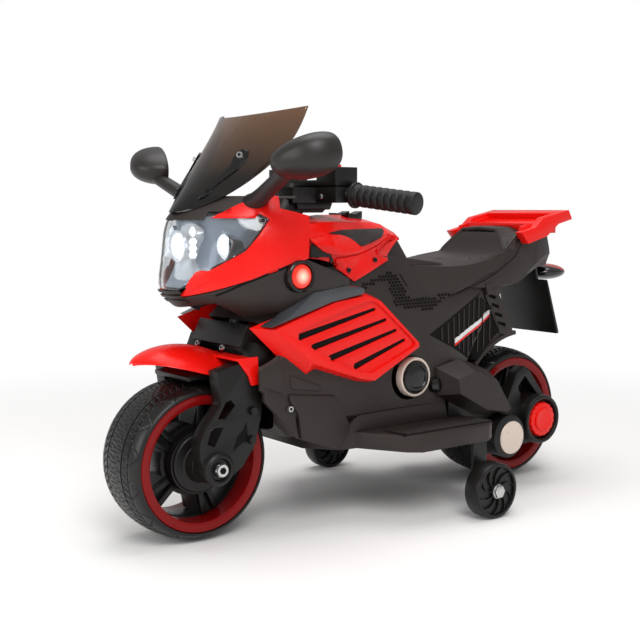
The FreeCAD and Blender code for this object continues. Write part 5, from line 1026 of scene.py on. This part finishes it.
for side in (-1, 1):
    for name, outline, finish, *fit in tank_patches:
        belongs(laid(f"{name}_{side}", outline, tank_skin, side, finish, *fit), "tank_cover")
    points = []
    for x, top, low, proud in wing_tail:
        lifts = ((top, wing_lift), ((top + low) / 2, (wing_lift + proud) / 2), (low, proud))
        front = [on_skin(tank_skin, x, z, side)[0] + Vector((0, side * lift, 0)) for z, lift in lifts]
        points += front + [point - Vector((0, side * 10, 0)) for point in front[::-1]]
    tail = from_faces(f"tank_wing_tail_{side}", points, strip_faces(len(wing_tail), 6, capped=True), red_abs)
    belongs(eased(tail, 0.8, 50), "tank_cover")
    screws = []
    for x, z in ((104, 335), (57, 347)):
        place = on_skin(tank_skin, x, z, side)[0]
        screws.append((place + Vector((0, side * 2.4, 0)), (0, side, 0)))
    cap_screws(f"wing_screws_{side}", screws, 3.6, gloss_black, "tank_cover")

# Seat: a grained black moulding that is screwed down on the body, with a hump at its back that starts with
# a crisp step. Each side of the hump has a lighter grey patch, painted light where that face catches the
# light, and a line of painted shade runs under the seat as its seam.
# Leather grain: warm black with a broken, leathery sheen; lit grey: painted light, a patch a shade lighter
# than the seat
seat_black = moulded("leather_grained_abs", "#261f1c", "#2e2623", roughness=0.52, swing=0.07, grain_mm=1.6,
                     depth_mm=0.08, Specular_IOR_Level=0.35)
seat = moulding("seat", seat_black, 2.5, 30)
seat_dip = [(-98, 342), (-150, 344.6), (-200, 348.5), (-217, 379), (-222, 395), (-98, 395)]
smoothed(carved(seat, prism("dip", seat_dip, -90, 90, seat_black)), 30)
slope = (  # place along the bike, height and half width
    (-98, 339, 20), (-109, 342.1, 26), (-120, 342.7, 37), (-135, 343.5, 47), (-150, 344.3, 54),
    (-170, 345.9, 59.5), (-190, 347.4, 65), (-199, 348.2, 66), (-202, 351.5, 64.5), (-209, 364.3, 56.6),
    (-214, 373.3, 48), (-217.5, 378.8, 41), (-224, 379.5, 40))
points = []
for x, z, half_width in slope:
    points += [(x, -half_width, z), (x, half_width, z), (x, half_width - 2, z - 6), (x, -half_width + 2, z - 6)]
hump = from_faces("seat_hump_front", points, strip_faces(len(slope), 4, capped=True), seat_black)
belongs(smoothed(hump, 40), "seat")
seat_skin = skin_of("seat", "tail_cover", "chassis_left", "chassis_right")
lit_patch_grey = moulded("painted_light_grey", "#302b2a", "#373231", roughness=0.5, swing=0.04, grain_mm=2.0,
                     depth_mm=0.01, Specular_IOR_Level=0.3)
patch = rounded([(-216, 372), (-234, 373), (-227, 354), (-206, 354)], 3)
low_seam = [(-24, 292), (-60, 293), (-105, 295), (-135, 302), (-164, 311), (-197, 326), (-229, 343),
            (-246, 361)]
seams = (("seat_front_seam", ribbon([(10, 327), (4, 318), (-4, 306), (-12, 297), (-20, 291)], 2.2)),
         ("seat_low_seam", ribbon(low_seam, 1.4)))
for side in (-1, 1):
    lit_patch = laid(f"seat_lit_patch_{side}", patch, seat_skin, side, lit_patch_grey, 0.6, step_mm=6, bevel_mm=0.3)
    belongs(lit_patch, "seat")
    # The seams are narrow lines of painted shade along the seat's joints
    for name, outline in seams:
        seam = laid(f"{name}_{side}", outline, seat_skin, side, painted_shade_black, 0.25, sunk_mm=1, bevel_mm=0.1)
        belongs(seam, "seat")

# Tail: a black cover under a red grab rail, which is a hollow moulding with side webs, a floor and a rear wall.
# Under it are a lamp in a black teardrop and a flat mud flap that hangs from the cover.
moulding("tail_cover", black_abs, 1.6, 30)
moulding("tail_wing", red_abs, 1.6)
flap = prism("mud_flap", [(-314, 304), (-318, 304), (-347, 220), (-345, 218), (-342, 218)], -53, 53, rim_black)
stands_for(eased(flap, 1.0), "plate_flap")
hanger = prism("flap_hanger", [(-307, 336), (-312, 336), (-319, 300), (-314, 300)], -34, 34, rim_black)
belongs(eased(hanger, 0.8), "plate_flap")
for name, low, half_width in (("tail_wall", 392, 64), ("tail_wall_foot", 379, 57)):
    outline = [(-320, low), (-326, low), (-329, 404), (-323, 404)]
    belongs(eased(prism(name, outline, -half_width, half_width, red_abs), 1.2), "tail_wing")
web = [(-236, 370), (-242, 388), (-300, 400), (-324, 404), (-321, 394), (-312, 389), (-292, 375)]
for side in (-1, 1):
    belongs(eased(prism(f"tail_web_{side}", web, side * 62, side * 68, red_abs), 1.2), "tail_wing")
tail_floor = [(-256, 387), (-300, 396.5), (-322, 401), (-322, 398), (-300, 393.5), (-256, 384)]
belongs(eased(prism("tail_tray", tail_floor, -63, 63, red_abs), 0.8), "tail_wing")
# Tail lamp acrylic: dark red and glossy above a slanting line, and black below it
lamp_red = moulded("tail_lamp_acrylic", "#121111", "#b3120f", roughness=0.14, swing=0.03, grain_mm=5.0,
                   depth_mm=0.01, Coat_Weight=0.2)
tree = lamp_red.node_tree
lamp_slant, black_ends, red_starts = -0.28, 0.4215, 0.4225
spot = add_node(tree, "ShaderNodeTexCoord").outputs["Object"]
place = add_node(tree, "ShaderNodeSeparateXYZ", {"Vector": spot}).outputs
slanted = add_node(tree, "ShaderNodeMath", {0: place["X"], 1: lamp_slant, 2: place["Z"]},
                   operation="MULTIPLY_ADD")
redness = add_node(tree, "ShaderNodeMapRange", {"Value": slanted.outputs["Value"], "From Min": black_ends,
                                                "From Max": red_starts})
tree.links.new(redness.outputs["Result"], tree.nodes["Mix"].inputs[0])
moulding("tail_lamp", lamp_red, 0.6, 40)

# Rear hugger: a black guard over the rear tyre on two slotted struts, screwed to the body. The body in front
# of it has a field of upright ribs, with a white and a red stripe stuck across them.
moulding("rear_hugger", black_abs, 1.2, 40)
# White vinyl: the brightest stripe on the body, clean and even
stripe_white = moulded("white_vinyl_stripe", "#dcdcdc", "#e6e6e6", roughness=0.35, swing=0.03, grain_mm=12.0,
                       depth_mm=0.003)
rib_skin = skin_of("rear_hugger", "chassis_left", "chassis_right")
strut_gap = [(-166, 300), (-200, 300), (-226, 236), (-202, 236)]
rib_field = [(-152, 292), (-188, 269), (-205, 232), (-158, 191), (-125, 200), (-37, 241), (-87, 265)]
stripe_path = ((-88, 228), (-118, 238.6), (-148, 249.2), (-184, 262))
shortest_rib = 12
for side in (-1, 1):
    # Behind the slots of each strut is a dark sheet of painted shade
    backing = prism(f"strut_gap_shade_{side}", strut_gap, side * 51, side * 57, painted_shade_black)
    belongs(eased(backing, 0.6), "rear_hugger")
    half = sided("chassis", side)
    # The field behind the ribs is painted shade, so that the gaps between the ribs read as deep
    field = laid(f"rib_field_{side}", rib_field, rib_skin, side, painted_shade_black, 0.4, sunk_mm=2, bevel_mm=0.2)
    belongs(field, half)
    for number in range(11):
        x = -186 + number * 12.5
        heights = [z for z in range(190, 296) if inside(rib_field, x, z)]
        if len(heights) > shortest_rib:
            outline = ribbon([(x, heights[0] + 2), (x, heights[-1] - 2)], 2.2)
            rib = laid(f"rear_rib_{side}_{number}", outline, rib_skin, side, black_abs, 1.6, sunk_mm=2,
                       bevel_mm=0.5)
            belongs(rib, half)
    for name, lift, width, finish in (("white", 0, 6, stripe_white), ("red", -5, 3, red_abs)):
        points = []
        for x, z in stripe_path:
            across = on_skin(rib_skin, x, z, side)[0].y + side * 2.2
            corners = [(across, z + lift - width / 2), (across, z + lift + width / 2)]
            points += [(x, y, up) for y, up in corners] + [(x, y - side * 4, up) for y, up in corners[::-1]]
        stripe_faces = strip_faces(len(stripe_path), 4, capped=True)
        belongs(eased(from_faces(f"{name}_stripe_{side}", points, stripe_faces, finish), 0.2, 50), half)

# Rear arms: black mouldings that carry the axle and are screwed to the body, with a faceted cover in front.
# At the axle a red scalloped cap sits in a cup, and a pale disc is pressed on the housing further forward.
for side in (1, -1):
    moulding(sided("rear_arm", side), rim_black, 1.4)
moulding("arm_covers", black_abs, 1.0, 12)
rear_axle_centre, housing_centre = (rear_axle_x, 0, axle_height), (-174, 0, 84)
scallops = []
for step in range(128):
    turn = 2 * math.pi * step / 128
    scallops.append((math.cos(turn), math.sin(turn), 1 - 0.05 * math.cos(8 * turn) ** 8))
cap_rims = [[(rear_axle_x + radius * dip * x, axle_height + radius * dip * z) for x, z, dip in scallops]
            for radius in (27, 25)]
caps = [prism("cap", cap_rims[0], side * 97, side * 107, red_abs, cap_rims[1]) for side in (-1, 1)]
stands_for(eased(joined("axle_scallops", caps, red_abs), 0.8, 40), "axle_caps")
moulding("rear_axle", zinc_steel, 0.5)
cap_cup = [(97, 37), (104, 37), (107, 35.6), (108, 33.4), (107.4, 31), (105, 29.4), (97, 28.6)]
cap_boss = [(106.8, 18), (109.4, 17.4), (110.2, 15.6), (109.8, 13.8), (109.4, 6), (109.2, 0)]
housing_disc = [(116.4, 24), (117.8, 24), (118.4, 23.4), (118.6, 22), (118.6, 0)]
for side in (-1, 1):
    cup = turned(f"axle_cup_rear_{side}", cap_cup, rear_axle_centre, rim_black, 72, True, side)
    belongs(cup, sided("rear_arm", side))
    boss = turned(f"axle_cap_boss_{side}", cap_boss, rear_axle_centre, red_abs, 48, False, side)
    belongs(boss, "axle_caps")
    disc = turned(f"housing_disc_{side}", housing_disc, housing_centre, pale_ring, 64, False, side)
    belongs(disc, "engine_caps")

# Training wheels: hard black mouldings with thin curved ribs on both faces. Each turns on a zinc-plated bolt
# with a washer, held by a bent steel bracket that is painted black.
moulding("stabiliser_brackets", rim_black, 1.0)
moulding("stabiliser_bolts", zinc_steel)


def around_tree():
    """Copies of a shape, turned in even steps about an axle across the bike."""
    tree, given = shape_tree("copies_around", Geometry="Geometry", Count="Int", Centre="Vector")
    points = add_node(tree, "GeometryNodePoints", {"Count": given["Count"], "Position": given["Centre"]})
    index = add_node(tree, "GeometryNodeInputIndex").outputs["Index"]
    share = add_node(tree, "ShaderNodeMath", {0: index, 1: given["Count"]}, operation="DIVIDE")
    turn = add_node(tree, "ShaderNodeMath", {0: share.outputs["Value"], 1: 2 * math.pi}, operation="MULTIPLY")
    euler = add_node(tree, "ShaderNodeCombineXYZ", {"Y": turn.outputs["Value"]})
    rotation = add_node(tree, "FunctionNodeEulerToRotation", {"Euler": euler.outputs["Vector"]})
    copies = add_node(tree, "GeometryNodeInstanceOnPoints", {
        "Points": points.outputs["Points"], "Instance": given["Geometry"],
        "Rotation": rotation.outputs["Rotation"]})
    return end_tree(tree, copies.outputs["Instances"], given["Finish"])


copies_around = around_tree()
trainer_profile = [
    (-13, 33.5), (-13, 35.5), (-12, 37), (-9, 38), (9, 38), (12, 37), (13, 35.5), (13, 33.5), (12.4, 32.6),
    (9, 32), (9, 11), (12.6, 10.6), (13, 10), (13, 5.3), (-13, 5.3), (-13, 10), (-12.6, 10.6), (-9, 11),
    (-9, 32), (-12.4, 32.6)]
trainer_washer = [(13.2, 5.2), (13.2, 9.6), (14.2, 9.6), (14.6, 9)]
rib_edges = []
for edge in (-0.55, 0.55):
    line = []
    for step in range(7):
        radius = 9.5 + 23 * step / 6
        turn = 0.55 * (step / 6) ** 1.6
        line.append((radius * math.cos(turn) - edge * math.sin(turn),
                     radius * math.sin(turn) + edge * math.cos(turn)))
    rib_edges.append(line)
rib_outline = rib_edges[0] + rib_edges[1][::-1]
for side in (-1, 1):
    wheel, axle = sided("stabiliser_wheel", side), (-66, side * 181, 38)
    parts = [turned("trainer", trainer_profile, axle, rim_black, 72, True)]
    rib = prism("rib", rib_outline, 8.6, 12.0, rim_black)
    for half_turn in (math.pi, 0):
        mesh = rib.data.copy()
        mesh.transform(Matrix.Rotation(half_turn, 4, "Z"))
        parts.append(grown("ribs", copies_around, rim_black, mesh, Count=10, Centre=metres(axle)))
    bpy.data.objects.remove(rib)
    stands_for(smoothed(joined(wheel + "_moulding", parts, rim_black)), wheel)
    washer = turned(f"trainer_washer_{side}", trainer_washer, axle, zinc_steel, 40, False, side)
    belongs(washer, "stabiliser_bolts")

# Drive: moulded acetal gears run from the steel pinion of the motor to the right side of the rear wheel, in
# a black case. The battery stands in the middle of the body, under the tank.
# Acetal: milky white and waxy; motor steel: grey metal with soft lights; battery case: plain dull grey
gear_white = moulded("natural_acetal", "#e4e1d6", "#eeebe2", roughness=0.4, swing=0.05, grain_mm=2.0,
                     depth_mm=0.02)
motor_steel = moulded("drawn_motor_steel", "#8f9193", "#a5a6a7", roughness=0.32, swing=0.06, grain_mm=1.4,
                      depth_mm=0.01, Metallic=1.0)
battery_grey = moulded("battery_case_abs", "#3a3d42", "#44474c", roughness=0.5, swing=0.06, grain_mm=1.2,
                       depth_mm=0.04)
moulding("drive_gear", gear_white, 0.2, 25)
moulding("idler_gear", gear_white, 0.2, 25)
moulding("motor_pinion", motor_steel, 0.15, 25)
moulding("motor", motor_steel)
moulding("gearbox_case", rim_black, 1.2)
moulding("battery", battery_grey, 2.0)

# Studio: a sheet of white paper under three round softboxes, seen from the photograph's place. The paper is
# matt round the bike, where it takes the shadow, and plain white further out.
stage_reach, matt_radius, white_radius = 12.0, 0.55, 1.5
stage_corners = [(-1, -1), (1, -1), (1, 1), (-1, 1)]
stage_mesh = bpy.data.meshes.new("sweep")
stage_mesh.from_pydata([(x * stage_reach, y * stage_reach, 0) for x, y in stage_corners], [], [(0, 1, 2, 3)])
paper = bpy.data.materials.new("white_paper")
paper.use_nodes = True
tree = paper.node_tree
tree.nodes.clear()
place = add_node(tree, "ShaderNodeTexCoord").outputs["Object"]
distance = add_node(tree, "ShaderNodeVectorMath", {0: place}, operation="LENGTH").outputs["Value"]
fade = add_node(tree, "ShaderNodeMapRange", {"Value": distance, "From Min": matt_radius,
                                             "From Max": white_radius},
                interpolation_type="SMOOTHSTEP").outputs["Result"]
path = add_node(tree, "ShaderNodeLightPath").outputs
seen = add_node(tree, "ShaderNodeMath", {0: path["Is Camera Ray"], 1: path["Is Glossy Ray"]},
                operation="MAXIMUM")
seen = add_node(tree, "ShaderNodeMath", {0: seen.outputs["Value"], 1: path["Is Transmission Ray"]},
                operation="MAXIMUM")
share = add_node(tree, "ShaderNodeMath", {0: fade, 1: seen.outputs["Value"]}, operation="MULTIPLY")
matt = add_node(tree, "ShaderNodeBsdfDiffuse", {"Color": linear("#f4f3f2")})
white = add_node(tree, "ShaderNodeEmission", {"Color": linear("#ffffff"), "Strength": 1.0})
mixed = add_node(tree, "ShaderNodeMixShader", {0: share.outputs["Value"], 1: matt.outputs["BSDF"],
                                               2: white.outputs["Emission"]})
add_node(tree, "ShaderNodeOutputMaterial", {"Surface": mixed.outputs["Shader"]})
sweep = new_piece("sweep", stage_mesh, paper)

scene = bpy.context.scene
world = bpy.data.worlds.new("studio")
scene.world = world
world.use_nodes = True
tree = world.node_tree
tree.nodes.clear()
path = add_node(tree, "ShaderNodeLightPath").outputs
seen = add_node(tree, "ShaderNodeMath", {0: path["Is Camera Ray"], 1: path["Is Transmission Ray"]},
                operation="MAXIMUM")
strength = add_node(tree, "ShaderNodeMapRange", {"Value": seen.outputs["Value"], "To Min": 0.5, "To Max": 1.0})
sky = add_node(tree, "ShaderNodeBackground", {"Color": linear("#ffffff"),
                                              "Strength": strength.outputs["Result"]})
add_node(tree, "ShaderNodeOutputWorld", {"Surface": sky.outputs["Background"]})
softboxes = (  # name, place, what it points at, breadth and watts
    ("key_softbox", (0.9, 1.6, 1.9), (0.05, 0.0, 0.25), 1.3, 29),
    ("top_softbox", (-0.2, -0.2, 2.2), (0.0, 0.0, 0.2), 1.8, 21),
    ("front_softbox", (2.2, 0.1, 0.9), (0.1, 0.0, 0.25), 1.2, 13))
for name, spot, target, breadth, watts in softboxes:
    lamp = bpy.data.lights.new(name, "AREA")
    lamp.shape = "DISK"
    lamp.size = breadth
    lamp.energy = watts
    holder = bpy.data.objects.new(name, lamp)
    holder.location = spot
    holder.rotation_euler = (Vector(target) - Vector(spot)).to_track_quat("-Z", "Y").to_euler()
    scene.collection.objects.link(holder)
camera = bpy.data.cameras.new("camera")
camera.lens = 60.82
camera.sensor_width = 36
viewpoint = bpy.data.objects.new("camera", camera)
viewpoint.location = (0.9766, 1.1815, 0.4162)
viewpoint.rotation_euler = Vector((-0.5987, -0.7942, -0.1037)).to_track_quat("-Z", "Y").to_euler()
scene.collection.objects.link(viewpoint)
scene.camera = viewpoint
scene.view_settings.view_transform = "Standard"
